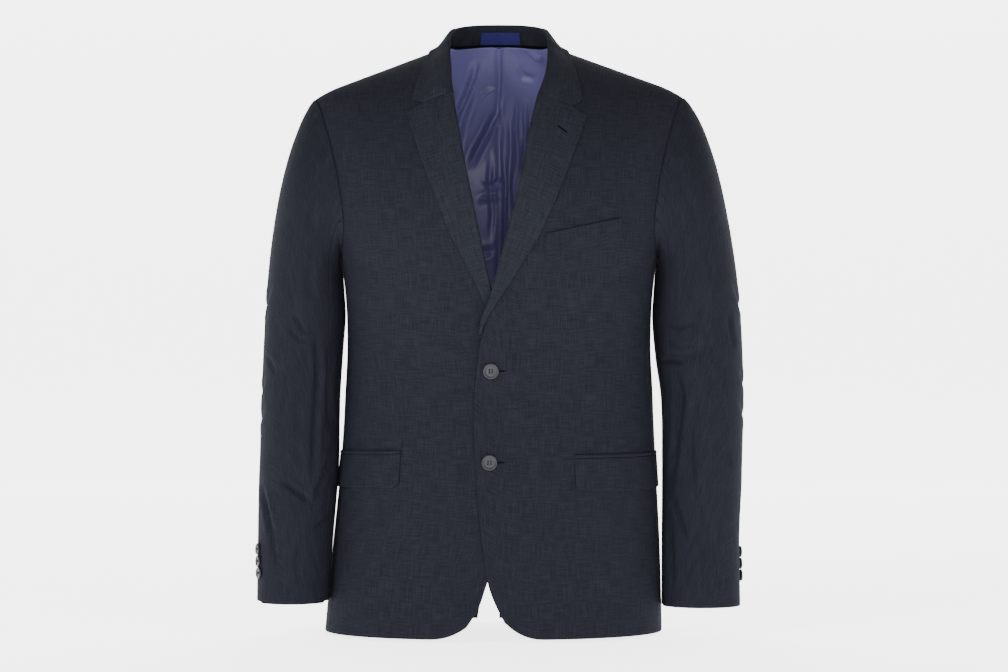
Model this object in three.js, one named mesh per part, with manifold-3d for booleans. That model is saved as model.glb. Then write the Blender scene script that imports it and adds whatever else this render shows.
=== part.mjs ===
// A two-button blazer, filled out and hollow, as it hangs with no wearer in it.
// Millimetres. +Z is up, the fronts face -Y and the wearer's left is +X.
// The origin is the centre of the neck opening, level with the shoulder seams' inner ends.
import * as THREE from 'three';
import { mergeVertices } from 'three/addons/utils/BufferGeometryUtils.js';
import Module from 'manifold-3d';

const wasm = await Module();
wasm.setup();

// Walls, and the clear space at a seam and under a piece that lies on another
const CLOTH = 2;
const LINING = 1;
const SEAM = 0.4;
const LAY = 0.4;
const DEGREE = Math.PI / 180;

// The body's rings from the hem up: half its width, its depths before and behind the middle,
// the middle's y and x, and how square the ring is
const RINGS = [
  { z: -760, half: 218, front: 122, back: 126, mid: 6, shift: -7.5, square: 2.25 },
  { z: -640, half: 211, front: 121, back: 124, mid: 6, shift: -3.5, square: 2.25 },
  { z: -540, half: 203.4, front: 118, back: 116, mid: 5, shift: -1, square: 2.3 },
  { z: -450, half: 198.2, front: 115, back: 106, mid: 4, shift: 0, square: 2.3 },
  { z: -380, half: 195, front: 116, back: 103, mid: 3, shift: 0, square: 2.35 },
  { z: -325, half: 197, front: 120, back: 108, mid: 2, shift: 0, square: 2.4 },
  { z: -268, half: 204, front: 124, back: 116, mid: 1, shift: 0, square: 2.5 },
  { z: -200, half: 221, front: 127, back: 124, mid: 1, shift: 0, square: 2.55 },
  { z: -120, half: 240, front: 128, back: 127, mid: 2, shift: 0, square: 2.6 },
  { z: -60, half: 251, front: 128, back: 127, mid: 2, shift: 0, square: 2.6 },
  { z: 40, half: 262, front: 128, back: 127, mid: 2, shift: 0, square: 2.6 },
];
const HEM = -747.5;
const NECK = { half: 74, top: 2, rise: 30, backDrop: 21 };
const SHOULDER = { half: 237, leftSlope: 0.361, rightSlope: 0.376, droopFrom: 205, droop: 0.0045 };
const CHEST_FALL = { reach: 240, power: 0.62 };
const BLADE_FALL = { reach: 200, power: 0.5 };

// Each front's free edge below the break of its lapel, and the line that the lapel rolls on
const BREAK = -388;
const FRONT_CORNER = {
  left: { x: 7.7, z: -726.7, flat: 60 },
  right: { x: -40, z: -731, flat: -90 },
};
const FRONT_EDGE = {
  left: [
    { z: -726.7, x: 7.7 }, { z: -702, x: -5 }, { z: -677, x: -13.6 }, { z: -609, x: -22.8 },
    { z: -521, x: -29.4 }, { z: -454, x: -31.2 }, { z: BREAK, x: -24.4 },
  ],
  right: [
    { z: -731, x: -40 }, { z: -708, x: -25.5 }, { z: -684, x: -17 }, { z: -640, x: -4 },
    { z: -550, x: 7 }, { z: -454, x: 9 }, { z: BREAK, x: 4.5 },
  ],
};
const ROLL = {
  left: [
    { z: BREAK, x: -24.4 }, { z: -360, x: -22.6 }, { z: -340, x: -17.5 }, { z: -318, x: -8.8 },
    { z: -259, x: 7.7 }, { z: -184, x: 27.6 }, { z: -103, x: 42.7 }, { z: -69, x: 50.8 },
    { z: -37, x: 60 }, { z: 2, x: 70.4 },
  ],
  right: [
    { z: BREAK, x: 4.5 }, { z: -318, x: -9.4 }, { z: -259, x: -23.2 }, { z: -175, x: -40.7 },
    { z: -90, x: -56.2 }, { z: -46, x: -61.7 }, { z: 2, x: -70.4 },
  ],
};
const LAPEL_EDGE = {
  left: [
    { z: BREAK, x: -24 }, { z: -374, x: -23.2 }, { z: -359, x: -19.5 }, { z: -340, x: -10.9 },
    { z: -308, x: 10.2 }, { z: -241.5, x: 51 }, { z: -175, x: 79.8 }, { z: -107.5, x: 105.3 },
    { z: -92.4, x: 110.2 },
  ],
  right: [
    { z: BREAK, x: 4 }, { z: -362, x: -5 }, { z: -324.5, x: -19.5 }, { z: -283.7, x: -39.3 },
    { z: -241.5, x: -60.4 }, { z: -200, x: -76.7 }, { z: -153.5, x: -94.4 }, { z: -87.8, x: -115.8 },
  ],
};
const NOTCH = {
  left: { gorgeZ: -67.4, inner: { x: 91.7, z: -80.8 }, corner: { x: 105.3, z: -71.1 } },
  right: { gorgeZ: -64.8, inner: { x: -95.9, z: -76.2 }, corner: { x: -108.6, z: -69.2 } },
};

// How far a front is moved out or in where one laps over the other
const LAP = { sink: 2.6, rise: 2.7, sinkFrom: -62, sinkTo: -36, riseFrom: 30, riseTo: 2 };
const ROLL_INSET = 3.6;
const ROLL_PUFF = 2.4;

// Angles round the body, from the centre front, of the seams that part its panels
const SIDE_SEAM = { front: 71, back: 122 };
const VENT = { top: -520, open: 29, power: 1.25 };

// The armhole, round from its top at the shoulder: the body's angle before and behind
const ARMHOLE_BOTTOM = -268;
const ARMHOLE_TURN = [
  { round: 48, front: 58, back: 60 },
  { round: 85, front: 56.1, back: 58.5 }, { round: 122, front: 59, back: 61 },
  { round: 141, front: 65, back: 66.5 }, { round: 160, front: 75, back: 76 },
  { round: 180, front: 90, back: 90 },
];

// Sections down each sleeve: its outer and inner points, and its depths about its middle
const SLEEVE = {
  right: [
    { step: 0, outX: 237, outZ: -60, inX: 205, inZ: -268, front: 60, back: 68, mid: 2 },
    { step: 1, outX: 247.5, outZ: -74, inX: 206, inZ: -270, front: 62, back: 69, mid: 2 },
    { step: 2, outX: 259.5, outZ: -101, inX: 203.2, inZ: -281, front: 65, back: 71, mid: 2 },
    { step: 3, outX: 273.5, outZ: -145, inX: 200.8, inZ: -296, front: 67, back: 72, mid: 2 },
    { step: 4, outX: 286.3, outZ: -203, inX: 199.2, inZ: -316, front: 67, back: 72, mid: 2 },
    { step: 5, outX: 297.2, outZ: -285, inX: 197.7, inZ: -345, front: 65, back: 69, mid: 1 },
    { step: 6, outX: 302.6, outZ: -370, inX: 201, inZ: -392, front: 62, back: 64, mid: -2 },
    { step: 7, outX: 305.6, outZ: -455, inX: 204.8, inZ: -462, front: 59, back: 58, mid: -7 },
    { step: 8, outX: 307.5, outZ: -540, inX: 205.8, inZ: -541, front: 55, back: 52, mid: -13 },
    { step: 9, outX: 309, outZ: -625, inX: 212.2, inZ: -625, front: 51, back: 48, mid: -20 },
    { step: 10, outX: 309.4, outZ: -706, inX: 217.8, inZ: -706, front: 47, back: 46, mid: -26 },
  ],
  left: [
    { step: 0, outX: 237, outZ: -60, inX: 205, inZ: -268, front: 60, back: 68, mid: 2 },
    { step: 1, outX: 249.5, outZ: -73.5, inX: 206, inZ: -270, front: 62, back: 69, mid: 2 },
    { step: 2, outX: 264, outZ: -101, inX: 203.2, inZ: -281, front: 65, back: 71, mid: 2 },
    { step: 3, outX: 279.3, outZ: -146, inX: 200.8, inZ: -296, front: 67, back: 72, mid: 2 },
    { step: 4, outX: 293, outZ: -205, inX: 199.2, inZ: -316, front: 67, back: 72, mid: 2 },
    { step: 5, outX: 306, outZ: -285, inX: 197.7, inZ: -348, front: 65, back: 69, mid: 1 },
    { step: 6, outX: 312.8, outZ: -365, inX: 201.6, inZ: -396, front: 62, back: 63, mid: -1 },
    { step: 7, outX: 314.6, outZ: -445, inX: 209.3, inZ: -458, front: 58, back: 56, mid: -5 },
    { step: 8, outX: 312.6, outZ: -535, inX: 209.6, inZ: -540, front: 53, back: 49, mid: -9 },
    { step: 9, outX: 308.8, outZ: -625, inX: 208.8, inZ: -627, front: 47, back: 44, mid: -14 },
    { step: 10, outX: 309.4, outZ: -712, inX: 208.4, inZ: -712, front: 42, back: 40, mid: -18 },
  ],
};
// Where the sleeve's two seams run, in degrees round from its outer side to the front
const SLEEVE_SEAMS = {
  right: [
    { step: 0, front: 121.26, back: -81.78 }, { step: 5, front: 132, back: -62 },
    { step: 8, front: 142, back: -14 }, { step: 10, front: 150, back: 19 },
  ],
  left: [
    { step: 0, front: 121.26, back: -81.78 }, { step: 5, front: 132, back: -66 },
    { step: 8, front: 138, back: -40 }, { step: 10, front: 142, back: -15 },
  ],
};
// The sleeves' largest folds: troughs of a depth, half as wide and half as long as given
const SLEEVE_FOLDS = {
  right: [
    { step: 7.1, round: 100, lean: -4, long: 0.75, wide: 13, depth: 4 },
    { step: 8.3, round: 96, lean: 25, long: 0.3, wide: 16, depth: 3 },
    { step: 5.7, round: 60, lean: -40, long: 0.3, wide: 18, depth: 2 },
  ],
  left: [
    { step: 7.6, round: 118, lean: -8, long: 0.9, wide: 13, depth: 4 },
    { step: 6.1, round: 110, lean: 0, long: 0.12, wide: 30, depth: 2.5 },
    { step: 8.9, round: 98, lean: -22, long: 0.35, wide: 15, depth: 2.5 },
  ],
};

// The collar from its front end to the centre back: the foot of its stand, its fold and its edge
const COLLAR = [
  { turn: 0, footX: 57, footY: -82, footZ: -66, foldX: 51, foldY: -85, foldZ: -65, edgeX: 105, edgeZ: -71 },
  { turn: 1, footX: 64, footY: -63, footZ: -40, foldX: 59, foldY: -68, foldZ: -36, edgeX: 100, edgeZ: -42 },
  { turn: 2, footX: 69, footY: -38, footZ: -15, foldX: 62, foldY: -42, foldZ: -2, edgeX: 93, edgeZ: -20 },
  { turn: 3, footX: 71, footY: -4, footZ: 4, foldX: 61, foldY: -10, foldZ: 22, edgeX: 85.5, edgeZ: -3 },
  { turn: 4, footX: 58, footY: 32, footZ: 7.5, foldX: 52, foldY: 22, foldZ: 31, edgeX: 74, edgeZ: -5 },
  { turn: 5, footX: 32, footY: 52, footZ: 11, foldX: 30, foldY: 42, foldZ: 36.5, edgeX: 40, edgeZ: -8 },
  { turn: 6, footX: 0, footY: 60, footZ: 12.5, foldX: 0, foldY: 49, foldZ: 38, edgeX: 0, edgeZ: -9 },
];

// Pockets on the fronts: x of the front end, heights there and at the side, and how far round they go
const FLAP = {
  left: { x: 95, top: -517, sideTop: -516, jet: 4.6, deep: 41, end: 94 },
  right: { x: -122.5, top: -512, sideTop: -516.4, jet: 4.6, deep: 42, end: -94 },
};
const WELT = { x: 58.4, z: -241.5, wide: 95, rise: 20.5, deep: 27 };

const FRONT_BUTTONS = [{ x: -9.8, z: -412.7 }, { x: -11.6, z: -526.7 }];
const FRONT_BUTTON = { radius: 10, thick: 3.4, rim: 2, dish: 0.9, hole: 1.1, spread: 2.5, sides: 24 };
const CUFF_BUTTON = { radius: 7.5, thick: 2.8, rim: 1.6, dish: 0.7, hole: 0.85, spread: 1.9, sides: 16 };
const BUTTON_LIFT = 0.5;
const CUFF_ROW = { count: 3, lowest: 36, apart: 15, fromSeam: 13 };
const BACK_LINING = { below: 3, bottom: -500, gap: 2.2, slack: 5, topHalf: 150, lowHalf: 160 };
const PLEAT = { deep: 3.5, half: 5 };
const TRIM = { jetting: 1.2, welt: 1.6, flap: 1.6 };
const LABEL = { fromX: -24, toX: 28, low: 0.12, high: 0.62, thick: 0.8, lift: 0.8 };

// Smooth value of one column of a table against another, through every row
function column(rows, key, name) {
  const at = rows.map((row) => row[key]);
  const to = rows.map((row) => row[name]);
  const slopes = to.map((_, i) => {
    const before = Math.max(i - 1, 0);
    const after = Math.min(i + 1, to.length - 1);
    return (to[after] - to[before]) / (at[after] - at[before]);
  });
  return (value) => {
    const inside = THREE.MathUtils.clamp(value, at[0], at[at.length - 1]);
    const i = Math.max(1, at.findIndex((edge) => edge >= inside));
    const span = at[i] - at[i - 1];
    const t = (inside - at[i - 1]) / span;
    const leave = slopes[i - 1] * span * t * (1 - t) ** 2;
    const arrive = slopes[i] * span * t * t * (1 - t);
    return to[i - 1] + (to[i] - to[i - 1]) * t * t * (3 - 2 * t) + leave - arrive;
  };
}

// Every column of a table as a smooth function of the key
function columns(rows, key) {
  const names = Object.keys(rows[0]).filter((name) => name !== key);
  return Object.fromEntries(names.map((name) => [name, column(rows, key, name)]));
}

const ring = columns(RINGS, 'z');

function smooth(value, from, to) {
  const t = THREE.MathUtils.clamp((value - from) / (to - from), 0, 1);
  return t * t * (3 - 2 * t);
}

function mix(a, b, t) {
  return a + (b - a) * t;
}

// Height of the top of the shoulders, which rises inside the neck opening
function ridge(x) {
  const out = Math.abs(x);
  if (out < NECK.half) return NECK.top + NECK.rise * (1 - (out / NECK.half) ** 2);
  const droop = SHOULDER.droop * Math.max(0, out - SHOULDER.droopFrom) ** 2;
  const slope = x > 0 ? SHOULDER.leftSlope : SHOULDER.rightSlope;
  return NECK.top - slope * (out - NECK.half) - droop;
}

// Height of the back's neck edge
function neckHeight(x) {
  const centre = NECK.top + NECK.rise - NECK.backDrop;
  return mix(centre, NECK.top, Math.min(1, Math.abs(x) / NECK.half) ** 2);
}

// Share of its full depth that the body has at a drop below the ridge
function fullness(drop, fall) {
  const t = THREE.MathUtils.clamp(drop / fall.reach, 0, 1);
  return (1 - (1 - t) ** 2) ** fall.power;
}

// A point of the body's outer surface: angle 0 is the centre front, 90 the wearer's left side
function bodyPoint(angle, z) {
  const sin = Math.sin(angle * DEGREE);
  const cos = Math.cos(angle * DEGREE);
  const square = ring.square(z);
  const reach = (Math.abs(sin) ** square + Math.abs(cos) ** square) ** (1 / square);
  const x = ring.shift(z) + ring.half(z) * sin / reach;
  const isFront = cos > 0;
  const full = fullness(ridge(x) - z, isFront ? CHEST_FALL : BLADE_FALL);
  const depth = (isFront ? ring.front(z) : ring.back(z)) * cos / reach;
  const parting = Math.sign(cos) * (SEAM / 2) * (1 - full);
  return new THREE.Vector3(x, ring.mid(z) - depth * full - parting, z);
}

// Outward direction there. It has no slant to front or back along the shoulder seam.
function bodyNormal(angle, z) {
  const stepAngle = 0.3;
  const stepZ = 0.7;
  const drop = ridge(bodyPoint(angle, z).x) - z;
  const low = z - Math.max(0, 2 * stepZ - drop);
  const round = bodyPoint(angle + stepAngle, low).sub(bodyPoint(angle - stepAngle, low));
  const up = bodyPoint(angle, low + stepZ).sub(bodyPoint(angle, low - stepZ));
  const normal = round.cross(up).normalize();
  normal.y *= smooth(drop, -2, 14);
  return normal.normalize();
}

function onBody(angle, z, lift = 0) {
  return bodyPoint(angle, z).addScaledVector(bodyNormal(angle, z), lift);
}

// The angle on the front half of the body that shows at x
function frontAngle(x, z) {
  const across = THREE.MathUtils.clamp((x - ring.shift(z)) / ring.half(z), -1, 1);
  const square = ring.square(z);
  return Math.atan2(across, (1 - Math.abs(across) ** square) ** (1 / square)) / DEGREE;
}

function backAngle(sign, x, z) {
  return sign * 180 - frontAngle(x, z);
}

const shoulderTop = { left: ridge(SHOULDER.half), right: ridge(-SHOULDER.half) };

function armholeColumns(side) {
  const turn = frontAngle(SHOULDER.half, shoulderTop[side]);
  return columns([{ round: 0, front: turn, back: turn }, ...ARMHOLE_TURN], 'round');
}

const armholeTurn = { left: armholeColumns('left'), right: armholeColumns('right') };

// A place on the armhole, round from the shoulder: positive to the front, negative to the back
function armhole(side, round) {
  const sign = side === 'left' ? 1 : -1;
  const middle = (shoulderTop[side] + ARMHOLE_BOTTOM) / 2;
  const half = (shoulderTop[side] - ARMHOLE_BOTTOM) / 2;
  const turn = Math.abs(round);
  const angle = round >= 0 ? armholeTurn[side].front(turn) : 180 - armholeTurn[side].back(turn);
  return { angle: sign * angle, z: middle + half * Math.cos(turn * DEGREE) };
}

// Rolled and lapped parts of the fronts
const rollX = { left: column(ROLL.left, 'z', 'x'), right: column(ROLL.right, 'z', 'x') };
const edgeX = { left: column(FRONT_EDGE.left, 'z', 'x'), right: column(FRONT_EDGE.right, 'z', 'x') };
const lapelX = { left: column(LAPEL_EDGE.left, 'z', 'x'), right: column(LAPEL_EDGE.right, 'z', 'x') };

function frontInnerX(side, z) {
  if (z < BREAK) return edgeX[side](z);
  const sign = side === 'left' ? 1 : -1;
  return rollX[side](z) + sign * ROLL_INSET * smooth(z, BREAK, BREAK + 30);
}

// How far out of the body's surface a front lies where the two lap
function frontLift(side, x, z) {
  if (side === 'right') return -LAP.sink * smooth(x, LAP.sinkFrom, LAP.sinkTo) * smooth(z, -722, -690);
  const above = smooth(z, -440, -400) * (1 - smooth(z, -300, -230));
  return LAP.rise * above * (1 - smooth(x, LAP.riseTo, LAP.riseFrom));
}

// A closed wall between two grids of points, given row by row
function wall(outer, inner) {
  const rows = outer.length;
  const across = outer[0].length;
  const positions = [...outer.flat(), ...inner.flat()].flatMap((point) => [point.x, point.y, point.z]);
  const index = [];
  const at = (i, j, layer) => layer * rows * across + i * across + j;
  const quad = (a, b, c, d) => index.push(a, b, c, a, c, d);
  for (let i = 0; i + 1 < rows; i += 1) {
    for (let j = 0; j + 1 < across; j += 1) {
      quad(at(i, j, 0), at(i, j + 1, 0), at(i + 1, j + 1, 0), at(i + 1, j, 0));
      quad(at(i, j, 1), at(i + 1, j, 1), at(i + 1, j + 1, 1), at(i, j + 1, 1));
    }
  }
  for (let j = 0; j + 1 < across; j += 1) {
    quad(at(0, j, 0), at(0, j, 1), at(0, j + 1, 1), at(0, j + 1, 0));
    quad(at(rows - 1, j, 0), at(rows - 1, j + 1, 0), at(rows - 1, j + 1, 1), at(rows - 1, j, 1));
  }
  for (let i = 0; i + 1 < rows; i += 1) {
    quad(at(i, 0, 0), at(i + 1, 0, 0), at(i + 1, 0, 1), at(i, 0, 1));
    quad(at(i, across - 1, 0), at(i, across - 1, 1), at(i + 1, across - 1, 1), at(i + 1, across - 1, 0));
  }
  const geometry = new THREE.BufferGeometry();
  geometry.setAttribute('position', new THREE.Float32BufferAttribute(positions, 3));
  geometry.setIndex(index);
  return facingOut(geometry);
}

// Turns the faces over where they enclose a negative volume
function facingOut(geometry) {
  const place = geometry.attributes.position;
  const index = geometry.index.array;
  const corner = (i) => new THREE.Vector3().fromBufferAttribute(place, index[i]);
  let volume = 0;
  for (let i = 0; i < index.length; i += 3) {
    volume += corner(i).dot(corner(i + 1).cross(corner(i + 2)));
  }
  if (volume < 0) {
    for (let i = 0; i < index.length; i += 3) {
      [index[i], index[i + 1]] = [index[i + 1], index[i]];
    }
  }
  return geometry;
}

// A piece of cloth on the body, from a grid of places with an angle, a height and a lift
function clothOnBody(places, thick) {
  const outer = places.map((row) => row.map((p) => onBody(p.angle, p.z, p.lift)));
  const inner = places.map((row) => row.map((p) => onBody(p.angle, p.z, p.lift - thick)));
  return wall(outer, inner);
}

// Places filled in between four edges, each a function that gives an angle and a height
function fill({ left, right, bottom, top }, us, vs) {
  const corners = [left(0), right(0), left(1), right(1)];
  return vs.map((v) => us.map((u) => {
    const blend = (key) => mix(left(v)[key], right(v)[key], u) + mix(bottom(u)[key], top(u)[key], v)
      - mix(mix(corners[0][key], corners[1][key], u), mix(corners[2][key], corners[3][key], u), v);
    return { angle: blend('angle'), z: blend('z'), lift: 0 };
  }));
}

function steps(count, from = 0, to = 1) {
  return Array.from({ length: count + 1 }, (_, i) => mix(from, to, i / count));
}

function frontPlace(x, z) {
  return { angle: frontAngle(x, z), z };
}

// Half a seam's clear space as an angle on the body
const SEAM_TURN = SEAM / 2 / 120 / DEGREE;

// Rows that neighbouring pieces share, so that their seams run alike: up the side seams to the
// armhole, then on up the armhole to the shoulder. The last are close, where the shoulder rounds.
const JOIN = 141;
const SEAM_ROWS = [0, 0.04, 0.1, 0.18, 0.27, 0.36, 0.45, 0.54, 0.63, 0.72, 0.8, 0.87, 0.94, 1];
const ARMHOLE_ROWS = [0, 0.14, 0.28, 0.42, 0.56, 0.69, 0.8, 0.89, 0.955, 0.985, 1];
const SIDE_SHARE = 0.62;
const PANEL_ROWS = [
  ...SEAM_ROWS.map((row) => row * SIDE_SHARE),
  ...ARMHOLE_ROWS.slice(1).map((row) => mix(SIDE_SHARE, 1, row)),
];
const ARM_ROUNDS = ARMHOLE_ROWS.map((row) => JOIN * (1 - row))
  .filter((round) => round === 0 || round > 3);
const UNDERARM_ROUNDS = [JOIN, 150, 160, 170, 180, -170, -160, -150, -JOIN];

function shoulderPlace(side, u, isFront) {
  const sign = side === 'left' ? 1 : -1;
  const x = sign * mix(NECK.half, SHOULDER.half, u);
  const z = ridge(x);
  return { angle: isFront ? frontAngle(x, z) : backAngle(sign, x, z), z };
}

function front(side) {
  const sign = side === 'left' ? 1 : -1;
  const seam = sign * (SIDE_SEAM.front - SEAM_TURN);
  const corner = FRONT_CORNER[side];
  const joint = armhole(side, JOIN);
  const share = SIDE_SHARE;
  const neckZ = ridge(NECK.half);
  const left = (v) => {
    const z = v < share ? mix(corner.z, joint.z, v / share) : mix(joint.z, neckZ, (v - share) / (1 - share));
    return frontPlace(frontInnerX(side, z), z);
  };
  const right = (v) => {
    if (v > share) return armhole(side, mix(JOIN, 0, (v - share) / (1 - share)));
    const t = v / share;
    return { angle: mix(seam, joint.angle, smooth(t, 0.8, 1)), z: mix(HEM, joint.z, t) };
  };
  const bottom = (u) => {
    const place = mix(left(0).angle, seam, u);
    const x = bodyPoint(place, HEM).x;
    const rounding = THREE.MathUtils.clamp((corner.flat - x) / (corner.flat - corner.x), 0, 1);
    return { angle: place, z: HEM + (corner.z - HEM) * rounding ** 2.4 };
  };
  const top = (u) => shoulderPlace(side, u, true);
  const us = [0, 0.05, 0.12, 0.22, 0.34, 0.46, 0.58, 0.7, 0.8, 0.9, 1];
  const places = fill({ left, right, bottom, top }, us, PANEL_ROWS);
  for (const place of places.flat()) {
    place.lift = frontLift(side, bodyPoint(place.angle, place.z).x, place.z);
  }
  return clothOnBody(places, CLOTH);
}

function sidePanel(side) {
  const sign = side === 'left' ? 1 : -1;
  const before = sign * (SIDE_SEAM.front + SEAM_TURN);
  const behind = sign * (SIDE_SEAM.back - SEAM_TURN);
  const topPlaces = UNDERARM_ROUNDS.map((round) => armhole(side, round));
  const topAt = (u) => topPlaces[Math.round(u * (topPlaces.length - 1))];
  const edge = (seam, joint, shift) => (v) => ({
    angle: mix(seam, joint.angle + shift, smooth(v, 0.8, 1)), z: mix(HEM, joint.z, v),
  });
  const left = edge(before, topAt(0), sign * SEAM_TURN * 2);
  const right = edge(behind, topAt(1), -sign * SEAM_TURN * 2);
  const bottom = (u) => ({ angle: mix(before, behind, u), z: HEM });
  const top = (u) => {
    if (u === 0) return left(1);
    return u === 1 ? right(1) : topAt(u);
  };
  const us = steps(topPlaces.length - 1);
  return clothOnBody(fill({ left, right, bottom, top }, us, SEAM_ROWS), CLOTH);
}

function back(side) {
  const sign = side === 'left' ? 1 : -1;
  const seam = sign * (SIDE_SEAM.back + SEAM_TURN);
  const joint = armhole(side, -JOIN);
  const share = SIDE_SHARE;
  const neckZ = neckHeight(0);
  const left = (v) => {
    const z = v < share ? mix(HEM, joint.z, v / share) : mix(joint.z, neckZ, (v - share) / (1 - share));
    const down = Math.max(0, (VENT.top - z) / (VENT.top - HEM));
    const open = side === 'right' ? VENT.open * down ** VENT.power : 0;
    return { angle: backAngle(sign, sign * (SEAM / 2 + open), z), z };
  };
  const right = (v) => {
    // Never quite 0, which is the front's side of the shoulder seam
    if (v > share) return armhole(side, -Math.max(mix(JOIN, 0, (v - share) / (1 - share)), 0.001));
    const t = v / share;
    return { angle: mix(seam, joint.angle, smooth(t, 0.8, 1)), z: mix(HEM, joint.z, t) };
  };
  const bottom = (u) => ({ angle: mix(left(0).angle, seam, u), z: HEM });
  // The neck edge, then the shoulder seam
  const neckShare = 0.3;
  const top = (u) => {
    if (u >= neckShare) return shoulderPlace(side, (u - neckShare) / (1 - neckShare), false);
    const x = sign * mix(SEAM / 2, NECK.half, u / neckShare);
    const z = neckHeight(x);
    return { angle: backAngle(sign, x, z), z };
  };
  const us = [...steps(4, 0, neckShare), ...steps(6, neckShare, 1).slice(1)];
  return clothOnBody(fill({ left, right, bottom, top }, us, PANEL_ROWS), CLOTH);
}

// A section of a sleeve: the point round it, with no folds
function sleeveSection(table, sign, step, round) {
  const outer = new THREE.Vector3(sign * table.outX(step), 0, table.outZ(step));
  const inner = new THREE.Vector3(sign * table.inX(step), 0, table.inZ(step));
  const cos = Math.cos(round * DEGREE);
  const sin = Math.sin(round * DEGREE);
  const depth = sin > 0 ? table.front(step) : table.back(step);
  const point = outer.clone().add(inner).multiplyScalar(0.5);
  point.addScaledVector(outer.sub(inner), cos / 2);
  point.y = table.mid(step) - depth * sin;
  return point;
}

// The sleeve's edge in the armhole: it starts clear of the body's edge, and under the arm of its face
function sleeveStart(side, round) {
  const sign = side === 'left' ? 1 : -1;
  const place = armhole(side, round);
  const edge = bodyPoint(place.angle, place.z);
  const normal = bodyNormal(place.angle, place.z);
  const ahead = armhole(side, Math.min(round + 3, 180));
  const behind = armhole(side, Math.max(round - 3, -180));
  const tangent = bodyPoint(ahead.angle, ahead.z).sub(bodyPoint(behind.angle, behind.z)).normalize();
  const outward = tangent.cross(normal).multiplyScalar(-sign).normalize();
  const turn = smooth(Math.abs(round), 105, 180) * Math.PI / 2;
  const away = outward.clone().multiplyScalar(Math.cos(turn)).addScaledVector(normal, Math.sin(turn));
  const facing = normal.clone().multiplyScalar(Math.cos(turn)).addScaledVector(outward, -Math.sin(turn));
  return { point: edge.addScaledVector(away, SEAM), facing };
}

const sleeveTable = { left: columns(SLEEVE.left, 'step'), right: columns(SLEEVE.right, 'step') };
const sleeveSeams = { left: columns(SLEEVE_SEAMS.left, 'step'), right: columns(SLEEVE_SEAMS.right, 'step') };

function foldDepth(folds, step, round) {
  return folds.reduce((sum, fold) => {
    const down = (step - fold.step) / fold.long;
    const around = (round - fold.round - fold.lean * (step - fold.step)) / fold.wide;
    return sum + fold.depth * Math.exp(-down * down - around * around);
  }, 0);
}

// A point of a sleeve's outer surface. Near the armhole it leaves the section for the armhole's edge.
function sleevePoint(side, step, round) {
  const sign = side === 'left' ? 1 : -1;
  const table = sleeveTable[side];
  const point = sleeveSection(table, sign, step, round);
  const strayed = sleeveStart(side, round).point.sub(sleeveSection(table, sign, 0, round));
  point.addScaledVector(strayed, 1 - smooth(step, 0, 3.5));
  const across = sleeveSection(table, sign, step, 0).add(sleeveSection(table, sign, step, 180));
  const inward = across.multiplyScalar(0.5).sub(point).normalize();
  return point.addScaledVector(inward, foldDepth(SLEEVE_FOLDS[side], step, round));
}

function sleeveNormal(side, step, round) {
  const sign = side === 'left' ? 1 : -1;
  const around = sleevePoint(side, step, round + 1).sub(sleevePoint(side, step, round - 1));
  const down = sleevePoint(side, step + 0.1, round).sub(sleevePoint(side, step, round));
  const normal = around.cross(down).multiplyScalar(sign).normalize();
  const share = smooth(step, 0, 1);
  const { facing } = sleeveStart(side, round);
  return normal.multiplyScalar(share).addScaledVector(facing, 1 - share).normalize();
}

function onSleeve(side, step, round, lift) {
  return sleevePoint(side, step, round).addScaledVector(sleeveNormal(side, step, round), lift);
}

const SLEEVE_STEPS = [0, 0.35, 0.8, 1.4, 2, 2.7, 3.4, 4.2, 5, 5.6, 6.2, 6.8, 7.4, 8, 8.6, 9.3, 10];

// Places round the armhole where a sleeve's grid starts: the body panels have the same ones
const fullTurn = (round) => (round < 0 ? round + 360 : round);
const BACK_START = ARM_ROUNDS[3];
const FRONT_START = ARM_ROUNDS[1];
const TOP_STARTS = [
  ...ARM_ROUNDS.filter((round) => round <= BACK_START && round > 0).map((round) => -round),
  ...ARM_ROUNDS.filter((round) => round <= FRONT_START).reverse(),
];
const UNDER_STARTS = [
  FRONT_START,
  ...UNDERARM_ROUNDS.map(fullTurn),
  360 - ARM_ROUNDS[1], 360 - ARM_ROUNDS[2], 360 - BACK_START,
];

function sleevePiece(side, isTop) {
  const seams = sleeveSeams[side];
  const gap = SEAM / 2 / 55 / DEGREE;
  const starts = isTop ? TOP_STARTS : UNDER_STARTS;
  const count = starts.length - 1;
  const grid = (lift) => SLEEVE_STEPS.map((step) => starts.map((start, i) => {
    const seamGap = gap * (1 - 2 * i / count);
    const from = isTop ? seams.back(step) : seams.front(step);
    const to = isTop ? seams.front(step) : seams.back(step) + 360;
    const round = mix(start, mix(from, to, i / count), smooth(step, 0, 3)) + seamGap;
    return onSleeve(side, step, round > 180 ? round - 360 : round, lift);
  }));
  return wall(grid(0), grid(-CLOTH));
}

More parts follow.
